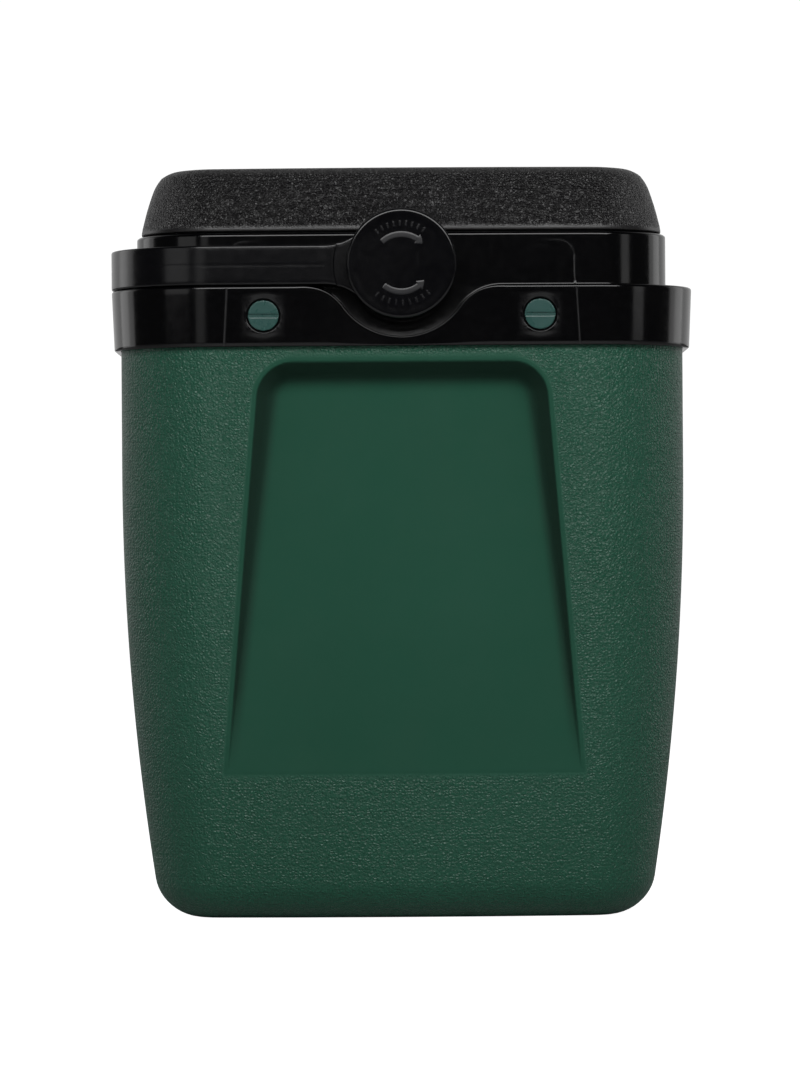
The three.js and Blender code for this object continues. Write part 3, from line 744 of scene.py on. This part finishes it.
def build_tray(material):
    """The lid's white underside: a flange and the plug that fits the mouth."""
    layout = columns(np.linspace(-1, 1, 17), 20, 14)
    flange = tray_high[0] - HALF_WIDTH
    foot, top = tray_low[2], tray_high[2]
    wall = 2.0
    plug = -32.2
    low = LID_FOOT_Z
    outside = [(plug - 16, foot), (plug - 14.5, foot)]
    outside += [(plug - 14.5 + 1.2 * math.sin(a), foot + 1.2 - 1.2 * math.cos(a)) for a in arc(4)[1:]]
    outside += [(plug - 12.6, foot + 1.6), (plug - 5.4, foot + 1.6)]
    outside += [(plug - 4.6, foot + 0.6), (plug - 4.0, foot)]
    outside += [(plug - 4 + 4 * math.sin(a), foot + 4 - 4 * math.cos(a)) for a in arc(6)[1:]]
    outside += [(plug, low - 0.8), (plug + 0.24, low - 0.24), (plug + 0.8, low)]
    outside += [(flange - 0.4, low, 0), (flange, low + 0.4, 0), (flange, top, 0)]
    inside = [(plug - wall, top), (plug - wall, foot + 4 + wall), (plug - 4 - wall, foot + wall)]
    shell = Shell()
    outer = lofted(layout, outside, MOUTH_ROUNDING)
    inner = lofted(layout, inside, MOUTH_ROUNDING)
    shell.tube(outer)
    shell.tube([outer[-1], inner[0]])
    shell.tube(inner)
    shell.fan(outer[0], (0, 0, foot))
    shell.fan(inner[-1], (0, 0, foot + wall))
    shell.finish("lid_tray", material, "lid", "lid_liner")


def build_seal(material):
    """Rubber ring round the plug, with two lips on its outer side."""
    layout = columns(np.linspace(-1, 1, 17), 20, 14)
    low, high = seal_low[2], seal_high[2]
    out = seal_high[0] - HALF_WIDTH
    inside = -31.9
    profile = [
        (inside, low), (inside, high), (out - 1.0, high), (out - 0.3, high - 0.3), (out, high - 0.8),
        (out - 0.9, (low + high) / 2), (out, low + 0.8), (out - 0.3, low + 0.3), (out - 1.0, low),
    ]
    shell = Shell()
    shell.tube(lofted(layout, profile, MOUTH_ROUNDING), close_rows=True)
    shell.finish("seal_ring", material, "lid", "lid_seal", 60.0)


# ---- Liner ----

def build_liner(material):
    layout = columns(np.linspace(-1, 1, 17), 20, 14)
    floor, top = liner_low[2], liner_high[2]
    flange = liner_high[0] - HALF_WIDTH
    wall = 2.5
    top_offset = -28.2
    floor_offset = -36.0
    corner = 9.0

    def skin(inset):
        start = floor + inset + corner
        rows = [(floor_offset - inset - corner * (1 - math.sin(a)),
                 floor + inset + corner * (1 - math.cos(a))) for a in arc(8)]
        rows += [(floor_offset - inset + (top_offset - floor_offset) * t,
                  start + (top - 3.2 - start) * t) for t in np.linspace(0, 1, 8)[1:]]
        return rows

    edge = top_offset - wall
    outer = skin(0.0) + [(top_offset, top - wall), (flange, top - wall, 0)]
    outer += [(flange, top - 0.4, 0), (flange - 0.4, top, 0)]
    inner = [(edge + 1.2, top), (edge + 0.35, top - 0.35), (edge, top - 1.2)] + skin(wall)[::-1]
    shell = Shell()
    points = lofted(layout, outer + inner, MOUTH_ROUNDING)
    shell.tube(points)
    shell.fan(points[0], (0, 0, floor))
    shell.fan(points[-1], (0, 0, floor + wall))
    shell.finish("liner_tub", material, "case", "inner_liner")


# ---- Handle ----

def arm_layout():
    """Columns of the handle's arms and grip, from the front pivot round to the rear one."""
    ends = -np.linspace(EYE_BLEND_START, END_REACH, 13) / END_REACH
    quarter = np.linspace(0, math.pi / 2, 23)[1:-1]
    return np.concatenate([
        plan_part(ends, -1, 0, -1), plan_corner(-1, -1, 1.5 * math.pi - quarter),
        plan_part(-1, np.linspace(-1, 1, 41), -1, 0), plan_corner(-1, 1, math.pi - quarter),
        plan_part(ends[::-1], 1, 0, 1),
    ])


BLEND_RADIUS = ((EYE_BLEND_START ** 2 + ARM_HALF_HEIGHT ** 2 - EYE_RADIUS ** 2)
                / (2 * (EYE_RADIUS - ARM_HALF_HEIGHT)))
BLEND_Z = ARM_HALF_HEIGHT + BLEND_RADIUS
BLEND_LEAN = math.atan2(BLEND_Z, EYE_BLEND_START)


def eye_step(radius):
    """How far the arm's outer face is set back round the cap."""
    return EYE_STEP_DEPTH * (1 - smoothstep((radius - EYE_STEP_RADIUS + 0.2) / 0.4))


def end_point(x, z, depth, sign):
    """Point of the handle over an end face: depth runs from its outer to its inner face."""
    step = eye_step(np.hypot(x, z))
    depth = step + depth * (1 - step / HANDLE_THICKNESS)
    y = sign * end_y(x, HANDLE_OUTER_OFFSET) - sign * depth
    return points_of(x, y, z + PIVOT_Z)


def blend_point(angle, inset):
    """(x, z) on the concave blend from the eye's circle to the arm's lower edge."""
    radius = BLEND_RADIUS + inset
    return -EYE_BLEND_START + radius * np.sin(angle), -BLEND_Z + radius * np.cos(angle)


def blend_angles():
    """Angles round a blend's centre, close together where the step crosses it."""
    tangent = math.pi / 2 - BLEND_LEAN
    plain = np.linspace(tangent, 0.0, 15)
    fine = np.linspace(tangent, 0.0, 2000)
    radius = np.hypot(*blend_point(fine, HANDLE_EDGE))
    marks = EYE_STEP_RADIUS + np.array([-0.35, -0.2, -0.1, 0.0, 0.1, 0.2, 0.35])
    close = np.interp(marks, radius, fine)
    far = plain[np.min(np.abs(plain[:, None] - close[None]), axis=1) > 0.02]
    return np.sort(np.concatenate([far, close]))[::-1]


# Shares of the half-height at which the arm has rows, and angles round the eye, from one
# blend round to the other and then across the arm.
ARM_ROWS = np.array([-1.0, -0.8, -0.6, -0.4, -0.2, -0.07, 0.0, 0.07, 0.2, 0.4, 0.6, 0.8, 1.0])
EYE_AROUND = np.linspace(BLEND_LEAN - math.pi, math.pi - BLEND_LEAN, 49)
EYE_ANGLES = np.concatenate([EYE_AROUND, (math.pi + BLEND_LEAN * ARM_ROWS)[::-1][1:-1]])


def handle_outline(arms, inset, depth):
    """Closed loop of points on the handle's edge, inset from its side view's outline."""
    half = ARM_HALF_HEIGHT - inset
    x, y = ring(arms, HANDLE_OUTER_OFFSET - depth)
    circle_x = (EYE_RADIUS - inset) * np.cos(EYE_AROUND)
    circle_z = (EYE_RADIUS - inset) * np.sin(EYE_AROUND)
    blend_x, blend_z = blend_point(blend_angles(), inset)
    return np.concatenate([
        end_point(circle_x[::-1], circle_z[::-1], depth, -1),
        end_point(blend_x, blend_z, depth, -1),
        points_of(x, y, PIVOT_Z - half),
        end_point(blend_x[::-1], blend_z[::-1], depth, 1),
        end_point(circle_x, circle_z, depth, 1),
        end_point(blend_x, -blend_z, depth, 1),
        points_of(x, y, PIVOT_Z + half)[::-1],
        end_point(blend_x[::-1], -blend_z[::-1], depth, -1),
    ])


def eye_faces(shell, depth, sign):
    """Round face of one eye and the neck between it and the arm, at one depth."""
    half = ARM_HALF_HEIGHT - HANDLE_EDGE
    radii = np.array([STEM_RADIUS + GAP, 12.0, 16.0, 20.0, EYE_RADIUS - HANDLE_EDGE])[:, None]
    shell.tube(end_point(radii * np.cos(EYE_ANGLES), radii * np.sin(EYE_ANGLES), depth, sign))
    bend_start = EYE_STEP_RADIUS + 0.6
    bend = math.hypot(EYE_BLEND_START, half) - bend_start
    rows = []
    for x, z in zip(*blend_point(blend_angles(), HANDLE_EDGE)):
        reach = math.hypot(x, z)
        angle = math.pi + math.atan2(-z, -x) * ARM_ROWS
        straight = smoothstep((reach - bend_start) / bend)
        row_x = reach * np.cos(angle) * (1 - straight) + x * straight
        row_z = reach * np.sin(angle) * (1 - straight) + z * ARM_ROWS * straight
        rows.append(end_point(row_x, row_z, depth, sign))
    shell.grid(rows)


def build_handle(material):
    arms = arm_layout()
    shell = Shell()
    half = ARM_HALF_HEIGHT - HANDLE_EDGE
    rounding = [(HANDLE_EDGE * (1 - math.sin(a)), HANDLE_EDGE * (1 - math.cos(a))) for a in arc(5)]
    rows = [handle_outline(arms, inset, depth) for inset, depth in rounding]
    rows += [handle_outline(arms, inset, HANDLE_THICKNESS - depth) for inset, depth in rounding[::-1]]
    shell.tube(rows)
    for depth in (0.0, HANDLE_THICKNESS):
        face = []
        for row in ARM_ROWS:
            seam = ARM_SEAM_DEPTH if depth == 0.0 and row == 0.0 else 0.0
            face.append(plan_row(arms, HANDLE_OUTER_OFFSET - depth - seam, PIVOT_Z + half * row))
        shell.grid(face)
        for sign in (-1, 1):
            eye_faces(shell, depth, sign)
    bore = STEM_RADIUS + GAP
    x, z = bore * np.cos(EYE_ANGLES), bore * np.sin(EYE_ANGLES)
    for sign in (-1, 1):
        shell.tube([end_point(x, z, 0.0, sign), end_point(x, z, HANDLE_THICKNESS, sign)])
    shell.finish("swing_handle", material, "handle", "handle")


# ---- Pivot caps and screws ----

ARROW_RADIUS = 14.4
ARROW_HALF_WIDTH = 1.2
ARROW_HEAD = 2.6
ARROW_HEAD_ANGLE = math.radians(14)
MARK_HEIGHT = 0.12
ARROW_SPANS = np.radians([(132, 56), (232, 308)])
TICK_INNER = 18.6
TICK_OUTER = 21.4
TICK_SPANS = np.radians([(56, 128), (232, 312)])
TICK_COUNT = 9
TICK_SHARE = 0.4


def ramp(distance, soft=0.35):
    """1 well inside a mark, 0 outside it, with a soft edge."""
    return smoothstep(0.5 + distance / soft)


def arrow_height(radius, angle, start, end):
    """Height of a curved arrow from start to end, its head at end."""
    turn = math.copysign(1.0, end - start)
    along = (angle - start) * turn
    length = abs(end - start)
    band = ARROW_HALF_WIDTH - np.abs(radius - ARROW_RADIUS)
    shaft = np.minimum(band, np.minimum(along, length - along) * ARROW_RADIUS)
    into_head = (along - length) / ARROW_HEAD_ANGLE
    half = ARROW_HEAD * (1 - into_head)
    head = np.minimum(half - np.abs(radius - ARROW_RADIUS), into_head * 3.5)
    return np.maximum(ramp(shaft), ramp(head) * (into_head > -0.1) * (into_head < 1.1))


def tick_height(radius, angle, start, end, count):
    """Evenly spaced radial ticks between two angles."""
    pitch = (end - start) / (count - 1)
    nearest = start + np.clip(np.round((angle - start) / pitch), 0, count - 1) * pitch
    across = 0.55 - np.abs(angle - nearest) * radius
    along = np.minimum(radius - TICK_INNER, TICK_OUTER - radius)
    return ramp(np.minimum(across, along))


def cap_marks(radius, angle):
    """Raised arrows and ticks on a cap's face; angle is measured from +X towards +Z."""
    height = np.zeros(np.broadcast(radius, angle).shape)
    for a in (angle, angle + 2 * math.pi):
        for start, end in ARROW_SPANS:
            height = np.maximum(height, arrow_height(radius, a, start, end))
        for start, end in TICK_SPANS:
            height = np.maximum(height, TICK_SHARE * tick_height(radius, a, start, end, TICK_COUNT))
    return height


def build_cap(material, end, sign):
    """Round cap with a shallow dish and raised marks, on its grooved stem."""
    face = abs(CAP_FACE_Y)
    back = abs(CAP_BACK_Y)
    angles = np.linspace(0, 2 * math.pi, 361)[:-1]
    shell = Shell()
    dish = 0.12
    plain = [(5.0, face - dish), (9.0, face - dish)]
    marked = [(r, face - dish) for r in np.arange(10.6, 22.3, 0.33)]
    edge = [(r, face - dish * (1 - float(smoothstep((r - 22.2) / 3.6)))) for r in np.arange(22.5, 26, 0.4)]
    edge += [(26.2, face)]
    corner = 1.4
    edge += [(CAP_RADIUS - corner + corner * math.sin(a), face - corner + corner * math.cos(a))
             for a in arc(8)[1:]]
    edge += [(CAP_RADIUS, back + 0.6), (CAP_RADIUS - 0.18, back + 0.18), (CAP_RADIUS - 0.6, back)]
    neck = abs(end_y(0, NECK_OFFSET - WALL)) - GAP
    stem_end = abs(STEM_END_Y)
    edge += [(STEM_RADIUS, back), (STEM_RADIUS, neck), (STEM_RADIUS - 2, neck - 0.2)]
    edge += [(STEM_RADIUS - 2, neck - 2.4), (STEM_RADIUS, neck - 2.6)]
    edge += [(STEM_RADIUS, stem_end + 0.8), (STEM_RADIUS - 0.8, stem_end)]
    rows, grain = [], []
    for radius, y in plain + marked + edge:
        marks = cap_marks(np.array(radius), angles) if y == face - dish else np.zeros(len(angles))
        lift = marks * MARK_HEIGHT
        grain.append(marks)
        x = radius * np.cos(angles)
        z = radius * np.sin(angles)
        rows.append(points_of(-sign * x, sign * (y + lift), z + PIVOT_Z))
    shell.tube(rows, grain=np.array(grain))
    shell.fan(rows[0], (0, sign * (face - dish), PIVOT_Z))
    shell.fan(rows[-1], (0, sign * stem_end, PIVOT_Z))
    shell.finish(f"pivot_button_{end}", material, "case", f"pivot_cap_{end}", 50.0)


def build_screw(material, end, side):
    """Slotted head with a rounded edge, on its shank."""
    node = f"collar_screw_{end}_{side}"
    low, high = extent(node)
    sign = -1 if end == "front" else 1
    x0 = (low[0] + high[0]) / 2
    top = max(abs(low[1]), abs(high[1]))
    tip = min(abs(low[1]), abs(high[1]))
    r = SCREW_HEAD_RADIUS
    half_slot = SLOT_WIDTH / 2
    depth = 0.9
    edge = 0.5
    under = top - 1.4
    shell = Shell()
    zs = np.concatenate([np.linspace(-1, -0.16, 12), [-0.12]]) * r
    zs = np.concatenate([zs, [-half_slot - 0.12, -half_slot, -half_slot + 0.02]])
    zs = np.concatenate([zs, -zs[::-1]])
    us = np.linspace(-1, 1, 41)
    z = np.clip(zs, -r, r)[:, None]
    half = np.sqrt(np.maximum((r - edge) ** 2 - (z * (r - edge) / r) ** 2, 0.0))
    x = us[None] * half
    z = np.broadcast_to(z * (r - edge) / r, x.shape)
    in_slot = np.abs(z) < half_slot * (r - edge) / r
    soft = 0.25 * smoothstep((np.abs(z) - half_slot) / 0.3)
    y = np.where(in_slot, top - depth, top - 0.25 + soft)
    shell.grid(points_of(x0 + x, sign * y, z + SCREW_Z))
    loop_x, loop_z, loop_y = (np.concatenate([g[:, -1], g[::-1, 0]]) for g in (x, z, y))
    angle = np.arctan2(loop_z, loop_x)
    rows = [points_of(x0 + loop_x, sign * loop_y, loop_z + SCREW_Z)]

    def add_row(radius, level):
        rows.append(points_of(x0 + radius * np.cos(angle), sign * level,
                              radius * np.sin(angle) + SCREW_Z))

    for a in arc(4)[1:]:
        add_row(r - edge * (1 - math.sin(a)), np.minimum(loop_y, top - edge * (1 - math.cos(a))))
    shank = SCREW_SHANK_RADIUS
    tail = [(r, under), (shank, under)]
    thread = np.arange(under - 1.5, tip + 4.2, -0.6)
    tail += [(shank - 0.35 * (i % 2), y) for i, y in enumerate(thread)]
    tail += [(shank - 0.8, tip + 3.0), (1.2, tip)]
    for radius, y in tail:
        add_row(radius, y)
    shell.tube(rows)
    shell.fan(rows[-1], (x0, sign * tip, SCREW_Z))
    shell.finish(f"slotted_screw_{end}_{side}", material, "case", node, 35.0)


# ---- Materials ----

class Graph:
    """A node tree, with short calls to add and join nodes."""

    def __init__(self, tree):
        self.tree = tree

    def add(self, kind, inputs=None, **settings):
        node = self.tree.nodes.new(kind)
        for key, value in settings.items():
            setattr(node, key, value)
        return self.feed(node, inputs or {})

    def feed(self, node, inputs):
        """Sets each input of a node to a value, or joins it to an output."""
        for key, value in inputs.items():
            if isinstance(value, bpy.types.NodeSocket):
                self.tree.links.new(value, node.inputs[key])
            else:
                node.inputs[key].default_value = value
        return node

    def math(self, operation, a, b=0.0, clamp=False):
        node = self.add("ShaderNodeMath", {0: a, 1: b}, operation=operation, use_clamp=clamp)
        return node.outputs[0]

    def remap(self, value, low, high, to_low, to_high, interpolation="LINEAR"):
        return self.add("ShaderNodeMapRange", {
            "Value": value, "From Min": low, "From Max": high, "To Min": to_low, "To Max": to_high,
        }, interpolation_type=interpolation).outputs["Result"]

    def split_by_camera_ray(self, unseen, seen, output):
        """What the camera sees of a surface, and what every other ray meets."""
        seen_by_camera = self.add("ShaderNodeLightPath").outputs["Is Camera Ray"]
        mix = self.add("ShaderNodeMixShader", {0: seen_by_camera, 1: unseen, 2: seen})
        self.feed(output, {"Surface": mix.outputs[0]})


class Nodes(Graph):
    """A new material with its node tree, in the object's own coordinates."""

    def __init__(self, name):
        self.material = bpy.data.materials.new(name)
        self.material.use_nodes = True
        super().__init__(self.material.node_tree)
        self.shader = self.tree.nodes["Principled BSDF"]
        self.place = self.add("ShaderNodeTexCoord").outputs["Object"]

    def noise_node(self, scale, detail, roughness):
        return self.add("ShaderNodeTexNoise", {
            "Vector": self.place, "Scale": scale, "Detail": detail, "Roughness": roughness,
        })

    def noise(self, scale, detail=2.0, roughness=0.5):
        return self.noise_node(scale, detail, roughness).outputs["Fac"]

    def blotches(self, scale, detail, roughness, low, high, to_low, to_high):
        return self.remap(self.noise(scale, detail, roughness), low, high, to_low, to_high)

    def mix_color(self, factor, a, b):
        return self.add("ShaderNodeMix", {0: factor, 6: a, 7: b}, data_type="RGBA").outputs[2]

    def bump(self, height, distance, strength=1.0, normal=None):
        inputs = {"Height": height, "Distance": distance, "Strength": strength}
        if normal is not None:
            inputs["Normal"] = normal
        return self.add("ShaderNodeBump", inputs).outputs["Normal"]

    def warped(self, amount, scale):
        """Coordinates pushed about by noise, so that cells lose their straight sides."""
        noise = self.noise_node(scale, 2.0, 0.5).outputs["Color"]
        centred = self.add("ShaderNodeVectorMath", {0: noise, 1: (0.5, 0.5, 0.5)}, operation="SUBTRACT")
        scaled = self.add("ShaderNodeVectorMath", {0: centred.outputs[0], "Scale": amount},
                          operation="SCALE")
        total = self.add("ShaderNodeVectorMath", {0: self.place, 1: scaled.outputs[0]},
                         operation="ADD")
        return total.outputs[0]

    def leather(self, pitch):
        """Height of a moulded leather grain: pebbles of about one pitch, split by creases."""
        cells = self.add("ShaderNodeTexVoronoi", {
            "Vector": self.warped(pitch * 0.5, 1.0 / pitch), "Scale": 1.0 / pitch, "Randomness": 0.8,
        }, feature="DISTANCE_TO_EDGE")
        pebble = self.remap(cells.outputs["Distance"], 0.0, 0.4, 0.0, 1.0)
        return self.math("ADD", pebble, self.blotches(0.9 / pitch, 0.0, 0.5, 0.38, 0.62, 0.0, 0.55))

    def shade(self, color, roughness, normal, **others):
        """Feeds the shader and returns the finished material."""
        self.feed(self.shader, {"Base Color": color, "Roughness": roughness, "Normal": normal})
        self.feed(self.shader, others)
        return self.material


def grained_plastic(name, base, tint, rough, pitch, depth, smooth_rough, specular=0.5):
    """Moulded plastic with leather grain where the mesh's grain value is 1, smooth where it is 0.

    Below 0.4 the colour is darkened as painted shade: a little on smooth parts such as the recess panel and
    the lid's foot band, strongest where the value reaches -1 on the recess walls. The grain's creases are
    darkened too, as painted shade.
    """
    n = Nodes(name)
    value = n.add("ShaderNodeAttribute", attribute_name="grain").outputs["Fac"]
    mask = n.math("MAXIMUM", value, 0.0)
    # Painted shade: smooth parts a little darker, the recess walls much darker.
    painted_shade = n.math("MULTIPLY", n.remap(value, 0.4, -1.0, 0.0, 1.0), 0.85)
    height = n.leather(pitch)
    normal = n.bump(n.noise(1600.0, 3.0, 0.6), 0.00003, 0.5, n.bump(height, depth, mask))
    cloud = n.mix_color(n.blotches(9.0, 3.0, 0.55, 0.3, 0.7, 0.0, 1.0), base, tint)
    # Painted shade in the grain's creases: the colour is darkened where the grain is low.
    painted_crease_shade = n.math("MULTIPLY", n.remap(height, 0.2, 1.1, 0.2, 0.0), mask)
    painted_shade_color = tuple(channel * 0.3 for channel in base[:3]) + (1.0,)
    # The colour is pulled towards a dark tone as painted shade in creases, on smooth parts and on the recess
    # walls.
    color = n.mix_color(n.math("ADD", painted_crease_shade, painted_shade), cloud, painted_shade_color)
    grain_rough = n.remap(height, 0.3, 1.5, rough + 0.07, rough - 0.05)
    difference = n.math("SUBTRACT", grain_rough, smooth_rough)
    total = n.math("ADD", n.math("MULTIPLY", difference, mask), smooth_rough)
    wear = n.blotches(35.0, 4.0, 0.6, 0.35, 0.75, -0.03, 0.04)
    return n.shade(color, n.math("ADD", total, wear, clamp=True), normal,
                   **{"Specular IOR Level": specular})


def gloss_plastic(name, base, haze, rough, marks=None):
    """Polished plastic with faint flow waves, hazy smears and fine scuffs.

    Where the mesh's grain value is 1 it may have matt marks of another colour.
    """
    n = Nodes(name)
    wave = n.bump(n.noise(55.0, 1.0, 0.4), 0.00006, 0.6)
    normal = n.bump(n.noise(900.0, 4.0, 0.7), 0.00001, 0.5, wave)
    smear = n.blotches(14.0, 5.0, 0.6, 0.52, 0.78, 0.0, 1.0)
    color = n.mix_color(smear, base, haze)
    roughness = n.remap(smear, 0.0, 1.0, rough, rough + 0.04)
    if marks:
        mask = n.add("ShaderNodeAttribute", attribute_name="grain").outputs["Fac"]
        color = n.mix_color(mask, color, marks)
        roughness = n.math("ADD", roughness, n.math("MULTIPLY", mask, 0.24))
    fine = n.blotches(260.0, 3.0, 0.6, 0.3, 0.7, -0.02, 0.03)
    return n.shade(color, n.math("ADD", roughness, fine, clamp=True), normal)


def satin_plastic(name, base, tint, rough, pitch=0.0012, depth=0.00002):
    """Plain moulded plastic with an even, very fine texture."""
    n = Nodes(name)
    color = n.mix_color(n.blotches(30.0, 4.0, 0.6, 0.35, 0.7, 0.0, 1.0), base, tint)
    roughness = n.blotches(120.0, 3.0, 0.6, 0.3, 0.7, rough - 0.04, rough + 0.05)
    return n.shade(color, roughness, n.bump(n.noise(1.0 / pitch, 3.0, 0.6), depth, 0.6))


def rigid_foam(name):
    """Foamed plastic: small closed cells."""
    n = Nodes(name)
    cells = n.add("ShaderNodeTexVoronoi", {"Vector": n.place, "Scale": 500.0}, feature="F1")
    color = n.mix_color(n.blotches(40.0, 3.0, 0.6, 0.3, 0.7, 0.0, 1.0),
                        (0.8, 0.72, 0.5, 1), (0.7, 0.6, 0.38, 1))
    return n.shade(color, 0.9, n.bump(cells.outputs["Distance"], 0.0004, 0.7))


def plated_steel(name):
    """Zinc-plated sheet with a faint mottle and fine rolling marks."""
    n = Nodes(name)
    color = n.mix_color(n.blotches(150.0, 4.0, 0.6, 0.35, 0.7, 0.0, 1.0),
                        (0.56, 0.57, 0.58, 1), (0.44, 0.45, 0.46, 1))
    roughness = n.blotches(600.0, 2.0, 0.5, 0.3, 0.7, 0.26, 0.42)
    return n.shade(color, roughness, n.bump(n.noise(1400.0, 2.0, 0.5), 0.00001, 0.5), Metallic=1.0)


GREEN = grained_plastic("green_grain", (0.011, 0.090, 0.051, 1), (0.014, 0.099, 0.058, 1),
                        0.35, 0.0016, 0.00030, 0.9, 0.45)
GREEN_TRIM = satin_plastic("green_trim_plastic", (0.020, 0.078, 0.067, 1), (0.026, 0.088, 0.077, 1), 0.28)
BLACK = gloss_plastic("black_gloss_plastic", (0.0007, 0.0007, 0.0011, 1),
                      (0.0017, 0.0016, 0.0019, 1), 0.12, (0.012, 0.012, 0.013, 1))
BLACK_SATIN = gloss_plastic("black_satin_plastic", (0.0018, 0.0018, 0.0026, 1),
                            (0.0030, 0.0029, 0.0033, 1), 0.18)
CAP_BLACK = gloss_plastic("black_button_plastic", (0.0012, 0.0012, 0.0020, 1),
                          (0.0022, 0.0022, 0.0028, 1), 0.13, (0.007, 0.007, 0.009, 1))
BLACK_GRAIN = grained_plastic("black_grain_plastic", (0.0034, 0.0028, 0.0034, 1),
                              (0.0044, 0.0037, 0.0046, 1), 0.36, 0.0013, 0.00042, 0.42, 0.7)
WHITE = satin_plastic("white_liner_plastic", (0.72, 0.74, 0.73, 1), (0.69, 0.71, 0.70, 1), 0.35)
RUBBER = satin_plastic("seal_rubber", (0.05, 0.053, 0.055, 1), (0.06, 0.062, 0.064, 1), 0.75, 0.0008, 0.00004)
FOAM = rigid_foam("foam_block")
STEEL = plated_steel("zinc_plate")


# ---- Pieces ----

build_tub(GREEN)
build_collar(BLACK)
build_lid(BLACK_GRAIN)
build_tray(WHITE)
build_seal(RUBBER)
build_liner(WHITE)
build_handle(BLACK_SATIN)
for end_name, end_sign in (("front", -1), ("rear", 1)):
    build_cap(CAP_BLACK, end_name, end_sign)
    for side_name in ("left", "right"):
        build_screw(GREEN_TRIM, end_name, side_name)


def dress(node, material, bevel=0.0):
    """New material and softened edges on a CAD node that keeps its shape."""
    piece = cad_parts[node]
    piece.data.materials.clear()
    piece.data.materials.append(material)
    if bevel:
        soften = piece.modifiers.new("soft_edges", "BEVEL")
        soften.width = bevel
        soften.segments = 2
        soften.limit_method = "ANGLE"
        soften.angle_limit = math.radians(40)


dress("body_insulation", FOAM)
dress("lid_insulation", FOAM)
for end_name in ("front", "rear"):
    dress(f"pivot_clip_{end_name}", STEEL, 0.0002)
    for side_name in ("left", "right"):
        dress(f"collar_nut_{end_name}_{side_name}", STEEL, 0.0003)


# ---- Camera, light and floor ----

def add_camera():
    """Long lens, level with the middle of the tub, square to its front end."""
    data = bpy.data.cameras.new("view_camera")
    data.lens = 153.8
    data.sensor_width = 36.0
    camera = bpy.data.objects.new("view_camera", data)
    front = HALF_LENGTH + SKIRT_TOP_OFFSET
    camera.location = (-0.0016, -(front * MM + 2.300), 0.1976)
    camera.rotation_euler = (math.radians(90), math.radians(0.38), 0)
    bpy.context.scene.collection.objects.link(camera)
    bpy.context.scene.camera = camera


def add_floor():
    """Pale paper. What the camera sees of it is lit a little more, like the world's white."""
    shell = Shell()
    reach = np.linspace(-4000, 4000, 17)
    x, y = np.meshgrid(reach, reach)
    shell.grid(np.stack([x, y, np.zeros_like(x)], axis=-1))
    floor = shell.build("studio_floor")
    n = Nodes("floor_paper")
    n.feed(n.shader, {
        "Base Color": n.mix_color(n.noise(3.0), (0.86, 0.86, 0.86, 1), (0.83, 0.83, 0.83, 1)),
        "Roughness": 0.9, "Specular IOR Level": 0.0,
    })
    glow = n.add("ShaderNodeEmission", {"Strength": 1.0})
    both = n.add("ShaderNodeAddShader", {0: n.shader.outputs[0], 1: glow.outputs[0]})
    dim = n.add("ShaderNodeBsdfDiffuse", {"Color": (0.58, 0.58, 0.58, 1)})
    n.split_by_camera_ray(dim.outputs[0], both.outputs[0], n.tree.nodes["Material Output"])
    floor.data.materials.append(n.material)


def add_light(name, azimuth, elevation, distance, size, radiance):
    """Soft panel facing the middle of the box. Azimuth runs from the camera's side to the right."""
    turn, rise = math.radians(azimuth), math.radians(elevation)
    middle = Vector((0.0, -0.1, 0.25))
    way = Vector((math.sin(turn) * math.cos(rise), -math.cos(turn) * math.cos(rise), math.sin(rise)))
    data = bpy.data.lights.new(name, "AREA")
    data.shape = "RECTANGLE"
    data.size, data.size_y = size
    data.energy = radiance * math.pi * size[0] * size[1]
    light = bpy.data.objects.new(name, data)
    light.location = middle + way * distance
    light.rotation_euler = (-way).to_track_quat("-Z", "Y").to_euler()
    bpy.context.scene.collection.objects.link(light)


def add_world():
    """White to the camera; to everything else bright low behind the box and dim elsewhere."""
    world = bpy.data.worlds.new("studio")
    bpy.context.scene.world = world
    world.use_nodes = True
    g = Graph(world.node_tree)
    g.tree.nodes.clear()
    place = g.add("ShaderNodeTexCoord").outputs["Generated"]
    way = g.add("ShaderNodeSeparateXYZ", {0: place})
    behind = g.remap(way.outputs["Y"], 0.38, 0.42, 0.035, 0.65, "SMOOTHSTEP")
    low = g.remap(way.outputs["Z"], 0.3, 0.8, 1.0, 0.3, "SMOOTHSTEP")
    white = (1, 1, 1, 1)
    seen = g.add("ShaderNodeBackground", {"Color": white, "Strength": 1.05})
    fill = g.add("ShaderNodeBackground", {"Color": white, "Strength": g.math("MULTIPLY", behind, low)})
    g.split_by_camera_ray(fill.outputs[0], seen.outputs[0], g.add("ShaderNodeOutputWorld"))


bpy.context.scene.view_settings.view_transform = "Standard"
add_camera()
add_floor()
add_world()
for light in [
    ("key", 6, 28, 1.6, (1.85, 0.65), 4.7),
    ("card_left", -21, 4, 2.2, (0.35, 0.5), 0.4),
    ("panel_left", -46, 9, 2.2, (1.0, 0.6), 0.55),
    ("panel_right", 60, 7, 2.2, (0.45, 0.6), 0.7),
    ("side_left", -114, 8, 2.2, (1.0, 1.3), 0.8),
    ("side_right", 114, 8, 2.2, (1.0, 1.3), 0.8),
]:
    add_light(*light)
